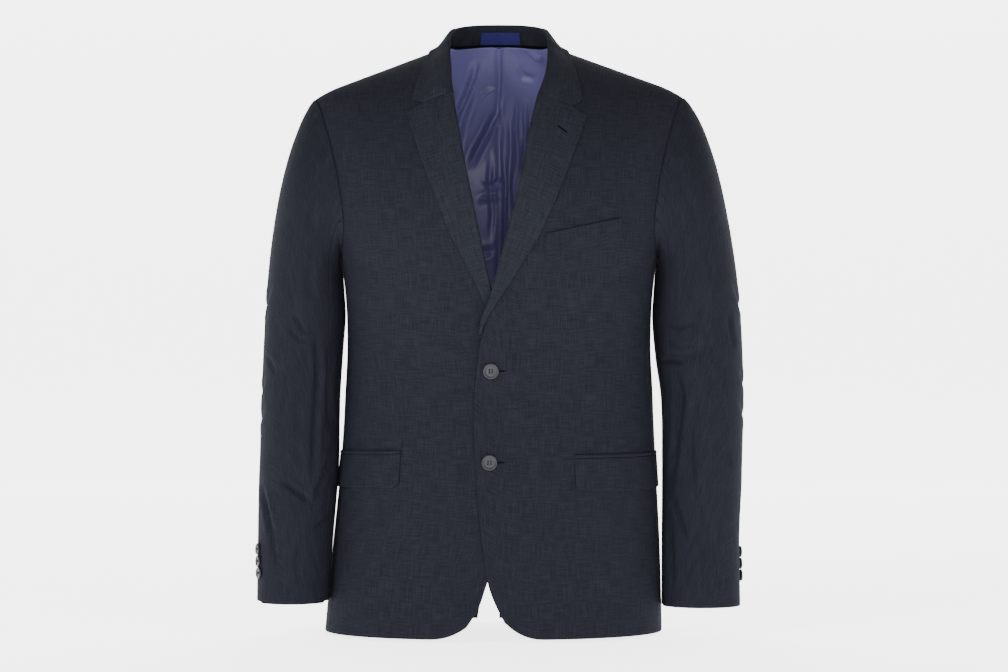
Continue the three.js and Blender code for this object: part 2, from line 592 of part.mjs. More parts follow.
// A lapel: it leaves the front's edge, turns over at the roll line and lies on the front
function lapel(side) {
  const sign = side === 'left' ? 1 : -1;
  const { gorgeZ, inner } = NOTCH[side];
  const gorge = { x: rollX[side](gorgeZ - SEAM), z: gorgeZ };
  const tip = LAPEL_EDGE[side][LAPEL_EDGE[side].length - 1];
  const start = side === 'left' ? -366 : -352;
  const left = (v) => {
    const z = mix(start, gorge.z - SEAM, v);
    return frontPlace(rollX[side](z), z);
  };
  const right = (v) => {
    const z = mix(start, tip.z, v);
    return frontPlace(lapelX[side](z), z);
  };
  const bottom = (u) => {
    const x = mix(rollX[side](start), lapelX[side](start), u);
    return frontPlace(x, start);
  };
  const notchShare = 0.66;
  const top = (u) => {
    const pastNotch = (u - notchShare) / (1 - notchShare);
    const [from, to, t] = u < notchShare ? [gorge, inner, u / notchShare] : [inner, tip, pastNotch];
    const down = u < notchShare ? SEAM : SEAM * (1 - t);
    return frontPlace(mix(from.x, to.x, t), mix(from.z, to.z, t) - down);
  };
  const us = [0, 0.12, 0.28, 0.47, notchShare, 0.83, 1];
  const places = fill({ left, right, bottom, top }, us, steps(17));
  const turnAngles = [-60, -20, 20, 60];
  const rowsOf = (depth) => places.map((row) => {
    const rollAt = row[0];
    const base = frontLift(side, bodyPoint(rollAt.angle, rollAt.z).x, rollAt.z);
    const puff = ROLL_PUFF * smooth(rollAt.z, -330, -230);
    const top = base + LAY + CLOTH + puff;
    const low = base - CLOTH;
    const centreLift = (top + low) / 2;
    const radius = (top - low) / 2 - depth;
    const normal = bodyNormal(rollAt.angle, rollAt.z);
    const opening = new THREE.Vector3(-sign, 0, 0);
    opening.addScaledVector(normal, sign * normal.x).normalize();
    const line = bodyPoint(rollAt.angle, rollAt.z);
    const back = -0.7 * ROLL_INSET * smooth(rollAt.z, BREAK, BREAK + 30);
    const foot = line.clone().addScaledVector(opening, back).addScaledVector(normal, low + depth);
    const turned = turnAngles.map((angle) => line.clone()
      .addScaledVector(normal, centreLift + radius * Math.sin(angle * DEGREE))
      .addScaledVector(opening, radius * Math.cos(angle * DEGREE)));
    const laid = row.map((place, i) => {
      const sit = frontLift(side, bodyPoint(place.angle, place.z).x, place.z);
      return onBody(place.angle, place.z, sit + LAY + CLOTH + puff * (1 - us[i]) ** 2 - depth);
    });
    return [foot, ...turned, ...laid];
  });
  return wall(rowsOf(0), rowsOf(CLOTH));
}

// How far a point lies out of the body, measured from where the body shows at its x and height
function aboveBody(point) {
  const z = Math.min(point.z, ridge(point.x) - 0.2);
  const angle = point.y < ring.mid(z) ? frontAngle(point.x, z) : backAngle(1, point.x, z);
  const normal = bodyNormal(angle, z);
  return { normal, lift: point.clone().sub(bodyPoint(angle, z)).dot(normal) };
}

// The collar's sections, from the right front end round the back to the left one
const collarTable = columns(COLLAR, 'turn');

function collarGuides(turn) {
  const side = turn < 0 ? 'right' : 'left';
  const sign = turn < 0 ? -1 : 1;
  const at = 6 - Math.abs(turn);
  const { footX, footY, footZ, foldX, foldY, foldZ } = collarTable;
  const foot = new THREE.Vector3(sign * footX(at), footY(at), footZ(at));
  foot.z += (NOTCH[side].gorgeZ + 2 * SEAM - footZ(0)) * (1 - smooth(at, 0, 1.3));
  const footPlace = frontPlace(frontInnerX(side, foot.z) - sign * SEAM * 4, foot.z);
  foot.lerp(onBody(footPlace.angle, footPlace.z, -CLOTH), 1 - smooth(at, 2, 3));
  const fold = new THREE.Vector3(sign * foldX(at), foldY(at), foldZ(at));
  const x = sign * collarTable.edgeX(at);
  const z = collarTable.edgeZ(at);
  const angle = at < 3 ? frontAngle(x, z) : backAngle(1, x, z);
  return { foot, fold, edge: onBody(angle, z, LAY + CLOTH), normal: bodyNormal(angle, z), at, side, sign };
}

// A point across the collar's free shape: 0 at the stand's foot, 1 at the outer edge
const FOLD_AT = 0.42;

function collarCurve({ foot, fold, edge, normal }, across) {
  const axis = fold.clone().sub(foot.clone().add(edge).multiplyScalar(0.5)).normalize();
  const over = edge.clone().sub(foot);
  over.addScaledVector(axis, -over.dot(axis)).normalize();
  if (across <= FOLD_AT) {
    const standRise = fold.clone().sub(foot);
    const a = foot.clone().addScaledVector(standRise, 0.45);
    const b = fold.clone().addScaledVector(over, -0.15 * standRise.length());
    return new THREE.CubicBezierCurve3(foot, a, b, fold).getPoint(across / FOLD_AT);
  }
  const fallRun = edge.clone().sub(fold);
  const slide = fallRun.clone().addScaledVector(normal, -fallRun.dot(normal)).normalize();
  const a = fold.clone().addScaledVector(over, 0.2 * fallRun.length());
  const b = edge.clone().addScaledVector(slide, -0.4 * fallRun.length());
  return new THREE.CubicBezierCurve3(fold, a, b, edge).getPoint((across - FOLD_AT) / (1 - FOLD_AT));
}

// The collar's front end lies along the gorge and the notch, level with the lapel
function collarEnd(side, sign, across) {
  const { gorgeZ, inner, corner } = NOTCH[side];
  const gorge = { x: rollX[side](gorgeZ), z: gorgeZ };
  const t = Math.max(0, (across - FOLD_AT) / (1 - FOLD_AT));
  const share = 0.76;
  const pastNotch = (t - share) / (1 - share);
  const [from, to, part] = t < share ? [gorge, inner, t / share] : [inner, corner, pastNotch];
  const place = frontPlace(mix(from.x, to.x, part), mix(from.z, to.z, part));
  const rise = smooth(t, 0, 0.1);
  const top = LAY + CLOTH + ROLL_PUFF * (1 - t) ** 2;
  const radius = (top + CLOTH) / 2;
  const point = onBody(place.angle, place.z, mix(top - radius, top, rise));
  point.x -= sign * radius * (1 - rise);
  return point;
}

function collarPoint(turn, across) {
  const guides = collarGuides(turn);
  const point = collarCurve(guides, across);
  const endTurn = guides.sign * 6;
  const share = Math.min(1, across / FOLD_AT);
  const free = collarCurve(collarGuides(endTurn), Math.max(across, FOLD_AT));
  const strayed = collarEnd(guides.side, guides.sign, across).sub(free).multiplyScalar(share);
  return point.addScaledVector(strayed, 1 - smooth(guides.at, 0, 1.3));
}

function collar() {
  const turns = steps(26, -6, 6);
  const acrosses = [0, 0.14, 0.28, 0.36, FOLD_AT, 0.48, 0.56, 0.68, 0.82, 0.92, 1];
  const outer = turns.map((turn) => acrosses.map((across) => (
    clearOfBody(collarPoint(turn, across), across)
  )));
  const inner = outer.map((row, i) => row.map((point, j) => {
    const before = outer[Math.max(i - 1, 0)][j];
    const after = outer[Math.min(i + 1, outer.length - 1)][j];
    const low = row[Math.max(j - 1, 0)];
    const high = row[Math.min(j + 1, row.length - 1)];
    const normal = after.clone().sub(before).cross(high.clone().sub(low)).normalize();
    return point.clone().addScaledVector(normal, -CLOTH);
  }));
  return wall(outer, inner);
}

function clearOfBody(point, across) {
  if (across < FOLD_AT) return point;
  const { normal, lift } = aboveBody(point);
  const short = LAY + CLOTH - lift;
  return short > 0 ? point.addScaledVector(normal, short) : point;
}

// A flap: its top is straight and its lower corners are rounded
function flap(side) {
  const { x, top, sideTop, jet, deep, end } = FLAP[side];
  const upper = (u) => ({ angle: mix(frontAngle(x, top), end, u), z: mix(top, sideTop, u) - jet - LAY });
  const corner = [0.06, 0.018];
  const middle = steps(9, corner[0], 1 - corner[0]);
  const us = [0, corner[1], ...middle, 1 - corner[1], 1];
  const rise = [10, 3, ...middle.map(() => 0), 3, 10];
  const vs = steps(4);
  const places = vs.map((v) => us.map((u, i) => {
    const place = upper(u);
    const z = place.z - v * (deep - rise[i]);
    return { angle: place.angle, z, lift: LAY + TRIM.flap + 0.6 * v };
  }));
  return clothOnBody(places, TRIM.flap);
}

function jetting(side) {
  const { x, top, sideTop, jet, end } = FLAP[side];
  const places = steps(2).map((v) => steps(13).map((u) => (
    { angle: mix(frontAngle(x, top), end, u), z: mix(top, sideTop, u) - v * jet, lift: LAY + TRIM.jetting }
  )));
  return clothOnBody(places, TRIM.jetting);
}

function chestWelt() {
  const places = steps(3).map((v) => steps(6).map((u) => {
    const x = WELT.x + u * WELT.wide;
    const z = WELT.z + u * WELT.rise - v * WELT.deep;
    return { ...frontPlace(x, z), lift: LAY + TRIM.welt };
  }));
  return clothOnBody(places, TRIM.welt);
}

const LINING_ROWS = [0, 0.16, 0.32, 0.47, 0.6, 0.71, 0.8, 0.88, 0.94, 0.98, 1];
const LINING_HALF = [0.016, 0.035, 0.07, 0.16, 0.29, 0.44, 0.61, 0.8, 1];
const LINING_COLUMNS = [...LINING_HALF.map((u) => -u).reverse(), 0, ...LINING_HALF];

function backLining() {
  const lift = -CLOTH - BACK_LINING.gap;
  const places = LINING_ROWS.map((v) => LINING_COLUMNS.map((u) => {
    const topX = u * BACK_LINING.topHalf;
    const topZ = Math.min(neckHeight(topX), ridge(topX)) - BACK_LINING.below;
    const z = mix(BACK_LINING.bottom, topZ, v);
    const x = u * mix(BACK_LINING.lowHalf, BACK_LINING.topHalf, v);
    const pleat = PLEAT.deep * Math.exp(-((x / PLEAT.half) ** 2)) * smooth(v, 0.3, 0.5);
    return { angle: backAngle(1, x, z), z, lift: lift - pleat - BACK_LINING.slack * smooth(v, 0.7, 1) };
  }));
  return clothOnBody(places, LINING);
}

// A plain woven label on the inner face of the collar's stand
function label() {
  const across = steps(2, LABEL.low, LABEL.high).map((share) => share * FOLD_AT);
  const turns = steps(8, LABEL.fromX, LABEL.toX).map((x) => x / COLLAR[5].footX);
  const grid = (lift) => across.map((a) => turns.map((turn) => {
    const point = collarPoint(turn, a);
    const ahead = collarPoint(turn, a + 0.02).sub(point);
    const normal = ahead.cross(new THREE.Vector3(1, 0, 0)).normalize();
    return point.addScaledVector(normal, normal.y > 0 ? -lift : lift);
  }));
  return wall(grid(LABEL.lift), grid(LABEL.lift + LABEL.thick));
}

// A four-hole button that faces +Z, with its back at z = 0
function button({ radius, thick, rim, dish, hole, spread, sides }) {
  const profile = [
    [0, 0], [radius - 1.2, 0], [radius, 0.9], [radius, thick - 0.7], [radius - 0.7, thick],
    [radius - rim, thick - 0.2], [radius - rim - 0.8, thick - dish], [0, thick - dish],
  ].map(([x, y]) => new THREE.Vector2(x, y));
  let body = solid(new THREE.LatheGeometry(profile, sides).rotateX(Math.PI / 2));
  for (const turn of [45, 135, 225, 315]) {
    const cut = new THREE.CylinderGeometry(hole, hole, thick * 3, 6).rotateX(Math.PI / 2);
    cut.translate(spread * Math.cos(turn * DEGREE), spread * Math.sin(turn * DEGREE), 0);
    body = body.subtract(solid(cut));
  }
  return geometryOf(body);
}

function solid(geometry) {
  const bare = new THREE.BufferGeometry();
  bare.setAttribute('position', geometry.attributes.position);
  bare.setIndex(geometry.index);
  const merged = facingOut(mergeVertices(bare, 1e-4));
  const triVerts = Uint32Array.from(merged.index.array);
  const vertProperties = Float32Array.from(merged.attributes.position.array);
  return new wasm.Manifold(new wasm.Mesh({ numProp: 3, vertProperties, triVerts }));
}

function geometryOf(body) {
  const mesh = body.getMesh();
  const geometry = new THREE.BufferGeometry();
  geometry.setAttribute('position', new THREE.Float32BufferAttribute(mesh.vertProperties, 3));
  geometry.setIndex(Array.from(mesh.triVerts));
  return geometry;
}

const suiting = new THREE.MeshStandardMaterial({ color: 0x2d3039, roughness: 0.85, metalness: 0 });
const satin = new THREE.MeshStandardMaterial({ color: 0x5a5a86, roughness: 0.45, metalness: 0 });
const labelCloth = new THREE.MeshStandardMaterial({ color: 0x232368, roughness: 0.7, metalness: 0 });
const horn = new THREE.MeshStandardMaterial({ color: 0x8d8f96, roughness: 0.35, metalness: 0 });

const blazer = new THREE.Group();

function add(name, geometry, material) {
  const mesh = new THREE.Mesh(geometry, material);
  mesh.name = name;
  blazer.add(mesh);
  return mesh;
}

function addButton(name, size, point, normal) {
  const mesh = add(name, button(size), horn);
  mesh.position.copy(point);
  mesh.quaternion.setFromUnitVectors(new THREE.Vector3(0, 0, 1), normal);
}

for (const side of ['left', 'right']) {
  add(`front_${side}`, front(side), suiting);
  add(`side_panel_${side}`, sidePanel(side), suiting);
  add(`back_${side}`, back(side), suiting);
  add(`top_sleeve_${side}`, sleevePiece(side, true), suiting);
  add(`under_sleeve_${side}`, sleevePiece(side, false), suiting);
  add(`lapel_${side}`, lapel(side), suiting);
  add(`flap_${side}`, flap(side), suiting);
  add(`jetting_${side}`, jetting(side), suiting);
  for (let i = 0; i < CUFF_ROW.count; i += 1) {
    const table = sleeveTable[side];
    const length = (table.outZ(9) - table.outZ(10));
    const step = 10 - (CUFF_ROW.lowest + i * CUFF_ROW.apart) / length;
    const round = sleeveSeams[side].back(step) + CUFF_ROW.fromSeam / 47 / DEGREE;
    const place = onSleeve(side, step, round, BUTTON_LIFT);
    addButton(`cuff_button_${side}_${i + 1}`, CUFF_BUTTON, place, sleeveNormal(side, step, round));
  }
}
add('collar', collar(), suiting);
add('chest_welt', chestWelt(), suiting);
add('back_lining', backLining(), satin);
add('label', label(), labelCloth);
FRONT_BUTTONS.forEach(({ x, z }, i) => {
  const angle = frontAngle(x, z);
  const lift = frontLift('left', x, z) + BUTTON_LIFT;
  addButton(`front_button_${i + 1}`, FRONT_BUTTON, onBody(angle, z, lift), bodyNormal(angle, z));
});

export default blazer;
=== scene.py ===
"""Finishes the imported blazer: cloth with its creases, lining, sewing, buttons, camera, light and floor.

The forms are worked out in millimetres from the same sizes as the solids, on finer grids.
+Z is up, the fronts face -Y and the wearer's left is +X.
"""

import logging
import math
from dataclasses import dataclass, field
from enum import Enum
from typing import Callable

import bpy
import numpy as np
from mathutils import Matrix, Vector


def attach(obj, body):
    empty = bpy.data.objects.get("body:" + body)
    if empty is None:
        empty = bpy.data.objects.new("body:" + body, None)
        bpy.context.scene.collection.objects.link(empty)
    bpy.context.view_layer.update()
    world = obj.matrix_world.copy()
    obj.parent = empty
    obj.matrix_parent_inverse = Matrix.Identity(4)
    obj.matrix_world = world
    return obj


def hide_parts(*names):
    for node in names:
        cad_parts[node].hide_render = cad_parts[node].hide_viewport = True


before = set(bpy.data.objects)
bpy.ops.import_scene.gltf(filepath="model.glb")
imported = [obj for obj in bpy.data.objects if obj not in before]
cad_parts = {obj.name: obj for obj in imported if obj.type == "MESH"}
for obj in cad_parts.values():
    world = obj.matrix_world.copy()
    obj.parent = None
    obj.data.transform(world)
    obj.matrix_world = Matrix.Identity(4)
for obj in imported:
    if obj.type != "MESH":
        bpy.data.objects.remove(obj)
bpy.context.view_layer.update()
log = logging.getLogger("blazer")

Values = float | np.ndarray

MM = 0.001
CLOTH = 2.0
LINING = 1.0
# Clear space at a seam, and under a piece that lies on another
SEAM = 0.1
# Sewn edges run into each other by this much, so that no light shows through a seam
SEWN = -0.1
LAY = 0.3
# How far an edge rolls under, and over what width
EDGE_DROP = 0.55
EDGE_WIDTH = 1.3


class Side(Enum):
    """The wearer's side, with the sign of its x."""

    LEFT = 1
    RIGHT = -1

    @property
    def word(self) -> str:
        """The side's name in piece names."""
        return self.name.lower()


class Seen(Enum):
    """Where a crease shows from: the first two axes place it, the third faces the viewer."""

    FRONT = (0, 2, 1, -1)
    BACK = (0, 2, 1, 1)
    LEFT = (1, 2, 0, 1)
    RIGHT = (1, 2, 0, -1)


# The body's rings from the hem up
RINGS = dict(
    z=(-760, -640, -540, -450, -380, -325, -268, -200, -120, -60, 40),
    half=(218, 211, 203.4, 198.2, 195, 197, 204, 221, 240, 251, 262),
    front=(122, 121, 118, 115, 116, 120, 124, 127, 128, 128, 128),
    back=(126, 124, 116, 106, 103, 108, 116, 124, 127, 127, 127),
    mid=(6, 6, 5, 4, 3, 2, 1, 1, 2, 2, 2),
    shift=(-7.5, -3.5, -1, 0, 0, 0, 0, 0, 0, 0, 0),
    square=(2.25, 2.25, 2.3, 2.3, 2.35, 2.4, 2.5, 2.55, 2.6, 2.6, 2.6),
)
HEM = -747.5
NECK_HALF, NECK_TOP, NECK_RISE, BACK_DROP = 74.0, 2.0, 30.0, 21.0
SHOULDER_HALF, DROOP_FROM, DROOP = 237.0, 205.0, 0.0045
SLOPE = {Side.LEFT: 0.361, Side.RIGHT: 0.376}
CHEST_FALL = (240.0, 0.62)
BLADE_FALL = (200.0, 0.5)

BREAK = -388.0
FRONT_CORNER = {Side.LEFT: (7.7, -726.7, 60.0), Side.RIGHT: (-40.0, -731.0, -90.0)}
FRONT_EDGE = {
    Side.LEFT: dict(z=(-726.7, -702, -677, -609, -521, -454, BREAK),
                    x=(7.7, -5, -13.6, -22.8, -29.4, -31.2, -24.4)),
    Side.RIGHT: dict(z=(-731, -708, -684, -640, -550, -454, BREAK), x=(-40, -25.5, -17, -4, 7, 9, 4.5)),
}
ROLL = {
    Side.LEFT: dict(z=(BREAK, -360, -340, -318, -259, -184, -103, -69, -37, 2),
                    x=(-24.4, -22.6, -17.5, -8.8, 7.7, 27.6, 42.7, 50.8, 60, 70.4)),
    Side.RIGHT: dict(z=(BREAK, -318, -259, -175, -90, -46, 2),
                     x=(4.5, -9.4, -23.2, -40.7, -56.2, -61.7, -70.4)),
}
LAPEL_EDGE = {
    Side.LEFT: dict(z=(BREAK, -374, -359, -340, -308, -241.5, -175, -107.5, -92.4),
                    x=(-24, -23.2, -19.5, -10.9, 10.2, 51, 79.8, 105.3, 110.2)),
    Side.RIGHT: dict(z=(BREAK, -362, -324.5, -283.7, -241.5, -200, -153.5, -87.8),
                     x=(4, -5, -19.5, -39.3, -60.4, -76.7, -94.4, -115.8)),
}
# The gorge's height, the notch's inner point and the collar's corner above it
NOTCH = {
    Side.LEFT: (-67.4, (91.7, -80.8), (105.3, -71.1)),
    Side.RIGHT: (-64.8, (-95.9, -76.2), (-108.6, -69.2)),
}
LAPEL_START = {Side.LEFT: -366.0, Side.RIGHT: -352.0}
ROLL_INSET = 3.6
ROLL_PUFF = 2.4

SIDE_SEAM = (71.0, 122.0)
VENT_TOP, VENT_OPEN, VENT_POWER = -520.0, 29.0, 1.25
ARMHOLE_BOTTOM = -268.0
ARMHOLE_TURN = dict(round=(48, 85, 122, 141, 160, 180), front=(58, 56.1, 59, 65, 75, 90),
                    back=(60, 58.5, 61, 66.5, 76, 90))
JOIN = 141.0
SIDE_SHARE = 0.62

SLEEVE = {
    Side.RIGHT: dict(
        step=tuple(range(11)),
        outX=(237, 247.5, 259.5, 273.5, 286.3, 297.2, 302.6, 305.6, 307.5, 309, 309.4),
        outZ=(-60, -74, -101, -145, -203, -285, -370, -455, -540, -625, -706),
        inX=(205, 206, 203.2, 200.8, 199.2, 197.7, 201, 204.8, 205.8, 212.2, 217.8),
        inZ=(-268, -270, -281, -296, -316, -345, -392, -462, -541, -625, -706),
        front=(60, 62, 65, 67, 67, 65, 62, 59, 55, 51, 47),
        back=(68, 69, 71, 72, 72, 69, 64, 58, 52, 48, 46),
        mid=(2, 2, 2, 2, 2, 1, -2, -7, -13, -20, -26),
    ),
    Side.LEFT: dict(
        step=tuple(range(11)),
        outX=(237, 249.5, 264, 279.3, 293, 306, 312.8, 314.6, 312.6, 308.8, 309.4),
        outZ=(-60, -73.5, -101, -146, -205, -285, -365, -445, -535, -625, -712),
        inX=(205, 206, 203.2, 200.8, 199.2, 197.7, 201.6, 209.3, 209.6, 208.8, 208.4),
        inZ=(-268, -270, -281, -296, -316, -348, -396, -458, -540, -627, -712),
        front=(60, 62, 65, 67, 67, 65, 62, 58, 53, 47, 42),
        back=(68, 69, 71, 72, 72, 69, 63, 56, 49, 44, 40),
        mid=(2, 2, 2, 2, 2, 1, -1, -5, -9, -14, -18),
    ),
}
# How full the sleeve stands just below the armhole's seam
SLEEVE_HEAD = 1.4
SLEEVE_SEAMS = {
    Side.RIGHT: dict(step=(0, 5, 8, 10), front=(121.26, 132, 142, 150), back=(-81.78, -62, -14, 19)),
    Side.LEFT: dict(step=(0, 5, 8, 10), front=(121.26, 132, 138, 142), back=(-81.78, -66, -40, -15)),
}
# The largest folds: step, round, lean, half length in steps, half width in degrees, depth
SLEEVE_FOLDS = {
    Side.RIGHT: ((7.1, 100, -4, 0.75, 13, 4), (8.3, 96, 25, 0.3, 16, 3), (5.7, 60, -40, 0.3, 18, 2)),
    Side.LEFT: ((7.6, 118, -8, 0.9, 13, 4), (6.1, 110, 0, 0.12, 30, 2.5), (8.9, 98, -22, 0.35, 15, 2.5)),
}

COLLAR = dict(
    turn=(0, 1, 2, 3, 4, 5, 6),
    footX=(57, 64, 69, 71, 58, 32, 0), footY=(-82, -63, -38, -4, 32, 52, 60),
    footZ=(-66, -40, -15, 4, 7.5, 11, 12.5),
    foldX=(51, 59, 62, 61, 52, 30, 0), foldY=(-85, -68, -42, -10, 22, 42, 49),
    foldZ=(-65, -36, -2, 22, 31, 36.5, 38),
    edgeX=(105, 100, 93, 85.5, 74, 40, 0), edgeZ=(-71, -42, -20, -3, -5, -8, -9),
)
FOLD_AT = 0.42

# Pockets: x of the front end, heights there and at the side, jetting, depth and how far round
FLAP = {
    Side.LEFT: (95.0, -517.0, -516.0, 4.6, 41.0, 94.0),
    Side.RIGHT: (-122.5, -512.0, -516.4, 4.6, 42.0, -94.0),
}
WELT_X, WELT_Z, WELT_WIDE, WELT_RISE, WELT_DEEP = 58.4, -241.5, 95.0, 20.5, 27.0
FLAP_CLOTH, JET_CLOTH, WELT_CLOTH = 1.6, 1.2, 1.6

FRONT_BUTTONS = ((-9.8, -412.7), (-11.6, -526.7))
BUTTON_LIFT = 0.5
CUFF_COUNT, CUFF_LOWEST, CUFF_APART, CUFF_FROM_SEAM = 3, 36.0, 15.0, 13.0


class Curve:
    """A smooth value of one column of a table against another, through every row."""

    def __init__(self, at: tuple, to: tuple) -> None:
        """Takes the guide places and values, and works out the slope at each.

        Args:
            at: Guide places, in rising order.
            to: The value at each guide place.
        """
        self.at = np.array(at, float)
        self.to = np.array(to, float)
        before = np.maximum(np.arange(len(at)) - 1, 0)
        after = np.minimum(np.arange(len(at)) + 1, len(at) - 1)
        self.slopes = (self.to[after] - self.to[before]) / (self.at[after] - self.at[before])

    def __call__(self, value: Values) -> np.ndarray:
        """The value at each place.

        Args:
            value: Places to read the curve at.

        Returns:
            One value for each place.
        """
        inside = np.clip(value, self.at[0], self.at[-1])
        i = np.clip(np.searchsorted(self.at, inside), 1, len(self.at) - 1)
        span = self.at[i] - self.at[i - 1]
        t = (inside - self.at[i - 1]) / span
        leave = self.slopes[i - 1] * span * t * (1 - t) ** 2
        arrive = self.slopes[i] * span * t * t * (1 - t)
        return self.to[i - 1] + (self.to[i] - self.to[i - 1]) * t * t * (3 - 2 * t) + leave - arrive


def curves(rows: dict, key: str) -> dict:
    """Every column of a table as a smooth function of its key column."""
    return {name: Curve(rows[key], rows[name]) for name in rows if name != key}


def smooth(value: Values, start: float, end: float) -> Values:
    """A soft step from 0 at start to 1 at end."""
    t = np.clip((np.asarray(value, float) - start) / (end - start), 0, 1)
    return t * t * (3 - 2 * t)


def mix(a: Values, b: Values, t: Values) -> Values:
    """The value a share t of the way from a to b."""
    return a + (b - a) * t


def unit(vectors: np.ndarray) -> np.ndarray:
    """The same directions, each one long."""
    return vectors / np.maximum(np.linalg.norm(vectors, axis=-1, keepdims=True), 1e-9)


def dot(a: np.ndarray, b: np.ndarray) -> np.ndarray:
    """Dot products over the last axis, kept as an axis."""
    return np.sum(a * b, axis=-1, keepdims=True)


@dataclass(frozen=True)
class Crease:
    """A soft trough in the cloth, or a ridge where depth is negative.

    path is in millimetres on the two axes of seen. Its ends fade out, and its banks rise a little.
    """

    seen: Seen
    path: tuple
    width: float
    depth: float

    def drop(self, points: np.ndarray, normals: np.ndarray) -> np.ndarray:
        """How far the cloth sinks at each point.

        Args:
            points: Points in millimetres.
            normals: The unit way out of the cloth at each point.

        Returns:
            Millimetres inwards.
        """
        first, second, facing, sign = self.seen.value
        flat = points[..., (first, second)]
        toward = smooth(normals[..., facing] * sign, 0.05, 0.5)
        path = np.array(self.path, float)
        lengths = np.linalg.norm(np.diff(path, axis=0), axis=1)
        nearest = np.full(flat.shape[:-1], 1e9)
        along = np.zeros(flat.shape[:-1])
        done = 0.0
        for start, end, length in zip(path[:-1], path[1:], lengths):
            t = np.clip(np.sum((flat - start) * (end - start), axis=-1) / length ** 2, 0, 1)
            away = np.linalg.norm(flat - (start + t[..., None] * (end - start)), axis=-1)
            closer = away < nearest
            along = np.where(closer, (done + t * length) / lengths.sum(), along)
            nearest = np.where(closer, away, nearest)
            done += length
        fade = smooth(along, -0.02, 0.3) * (1 - smooth(along, 0.7, 1.02))
        ratio = nearest / self.width
        shape = np.exp(-ratio ** 2) - 0.22 * np.exp(-((ratio - 2.1) / 0.9) ** 2)
        return self.depth * fade * shape * toward


def seen_from(view: Seen, *rows: tuple) -> tuple:
    """The creases that show from one side: each row is a path, a width and a depth."""
    return tuple(Crease(view, *row) for row in rows)


def creased(points: np.ndarray, normals: np.ndarray, creases: tuple) -> np.ndarray:
    """The summed depth of all creases, with an axis kept for the normals.

    Args:
        points: Points in millimetres.
        normals: The unit way out of the cloth at each point.
        creases: The creases to add up.

    Returns:
        Millimetres inwards.
    """
    total = np.zeros(points.shape[:-1])
    for crease in creases:
        total += crease.drop(points, normals)
    return total[..., None]


def ridge(x: Values) -> Values:
    """Height of the top of the shoulders, which rises inside the neck opening.

    Args:
        x: Across, in millimetres.

    Returns:
        Heights in millimetres.
    """
    out = np.abs(x)
    slope = np.where(np.asarray(x) > 0, SLOPE[Side.LEFT], SLOPE[Side.RIGHT])
    droop = DROOP * np.maximum(0, out - DROOP_FROM) ** 2
    inside = NECK_TOP + NECK_RISE * (1 - (out / NECK_HALF) ** 2)
    return np.where(out < NECK_HALF, inside, NECK_TOP - slope * (out - NECK_HALF) - droop)


def neck_height(x: Values) -> Values:
    """Height of the back's neck edge."""
    centre = NECK_TOP + NECK_RISE - BACK_DROP
    return mix(centre, NECK_TOP, np.minimum(1, np.abs(x) / NECK_HALF) ** 2)


class Body:
    """The form of the jacket's body: angle 0 is the centre front and 90 the wearer's left."""

    ring = curves(RINGS, "z")
    creases: tuple = ()

    @classmethod
    def point(cls, angle: Values, z: Values) -> np.ndarray:
        """Points of the outer surface with no creases.

        Args:
            angle: Degrees round the body from the front.
            z: Up, in millimetres.

        Returns:
            Points in millimetres.
        """
        angle, z = np.broadcast_arrays(np.asarray(angle, float), np.asarray(z, float))
        sin, cos = np.sin(np.radians(angle)), np.cos(np.radians(angle))
        square = cls.ring["square"](z)
        reach = (np.abs(sin) ** square + np.abs(cos) ** square) ** (1 / square)
        x = cls.ring["shift"](z) + cls.ring["half"](z) * sin / reach
        is_front = cos > 0
        drop = ridge(x) - z
        full = np.where(is_front, cls.fullness(drop, *CHEST_FALL), cls.fullness(drop, *BLADE_FALL))
        depth = np.where(is_front, cls.ring["front"](z), cls.ring["back"](z)) * cos / reach
        parting = np.sign(cos) * (SEAM / 2) * (1 - full)
        return np.stack([x, cls.ring["mid"](z) - depth * full - parting, z], axis=-1)

    @staticmethod
    def fullness(drop: Values, reach: float, power: float) -> Values:
        """Share of its full depth that the body has at a drop below the ridge."""
        t = np.clip(drop / reach, 0, 1)
        return (1 - (1 - t) ** 2) ** power

    @classmethod
    def normal(cls, angle: Values, z: Values) -> np.ndarray:
        """Outward directions, with no slant to front or back along the shoulder seam.

        Args:
            angle: Degrees round the body from the front.
            z: Up, in millimetres.

        Returns:
            Unit directions.
        """
        angle, z = np.broadcast_arrays(np.asarray(angle, float), np.asarray(z, float))
        drop = ridge(cls.point(angle, z)[..., 0]) - z
        low = z - np.maximum(0, 1.4 - drop)
        around = cls.point(angle + 0.3, low) - cls.point(angle - 0.3, low)
        up = cls.point(angle, low + 0.7) - cls.point(angle, low - 0.7)
        normal = unit(np.cross(around, up))
        normal[..., 1] *= smooth(drop, -2, 14)
        return unit(normal)

    @classmethod
    def on(cls, angle: Values, z: Values, lift: Values) -> np.ndarray:
        """Points at a lift out of the creased surface.

        Args:
            angle: Degrees round the body from the front.
            z: Up, in millimetres.
            lift: Millimetres out of the surface.

        Returns:
            Points in millimetres.
        """
        points, normals = cls.point(angle, z), cls.normal(angle, z)
        out = np.broadcast_to(np.asarray(lift, float), points.shape[:-1])[..., None]
        return points + normals * (out - creased(points, normals, cls.creases))

    @classmethod
    def front_angle(cls, x: Values, z: Values) -> Values:
        """The angle on the front half of the body that shows at x.

        Args:
            x: Across, in millimetres.
            z: Up, in millimetres.

        Returns:
            Degrees round the body.
        """
        across = np.clip((x - cls.ring["shift"](z)) / cls.ring["half"](z), -1, 1)
        square = cls.ring["square"](z)
        return np.degrees(np.arctan2(across, (1 - np.abs(across) ** square) ** (1 / square)))

    @classmethod
    def back_angle(cls, sign: int, x: Values, z: Values) -> Values:
        """The same on the back half, counted from the side that sign gives."""
        return sign * 180 - cls.front_angle(x, z)


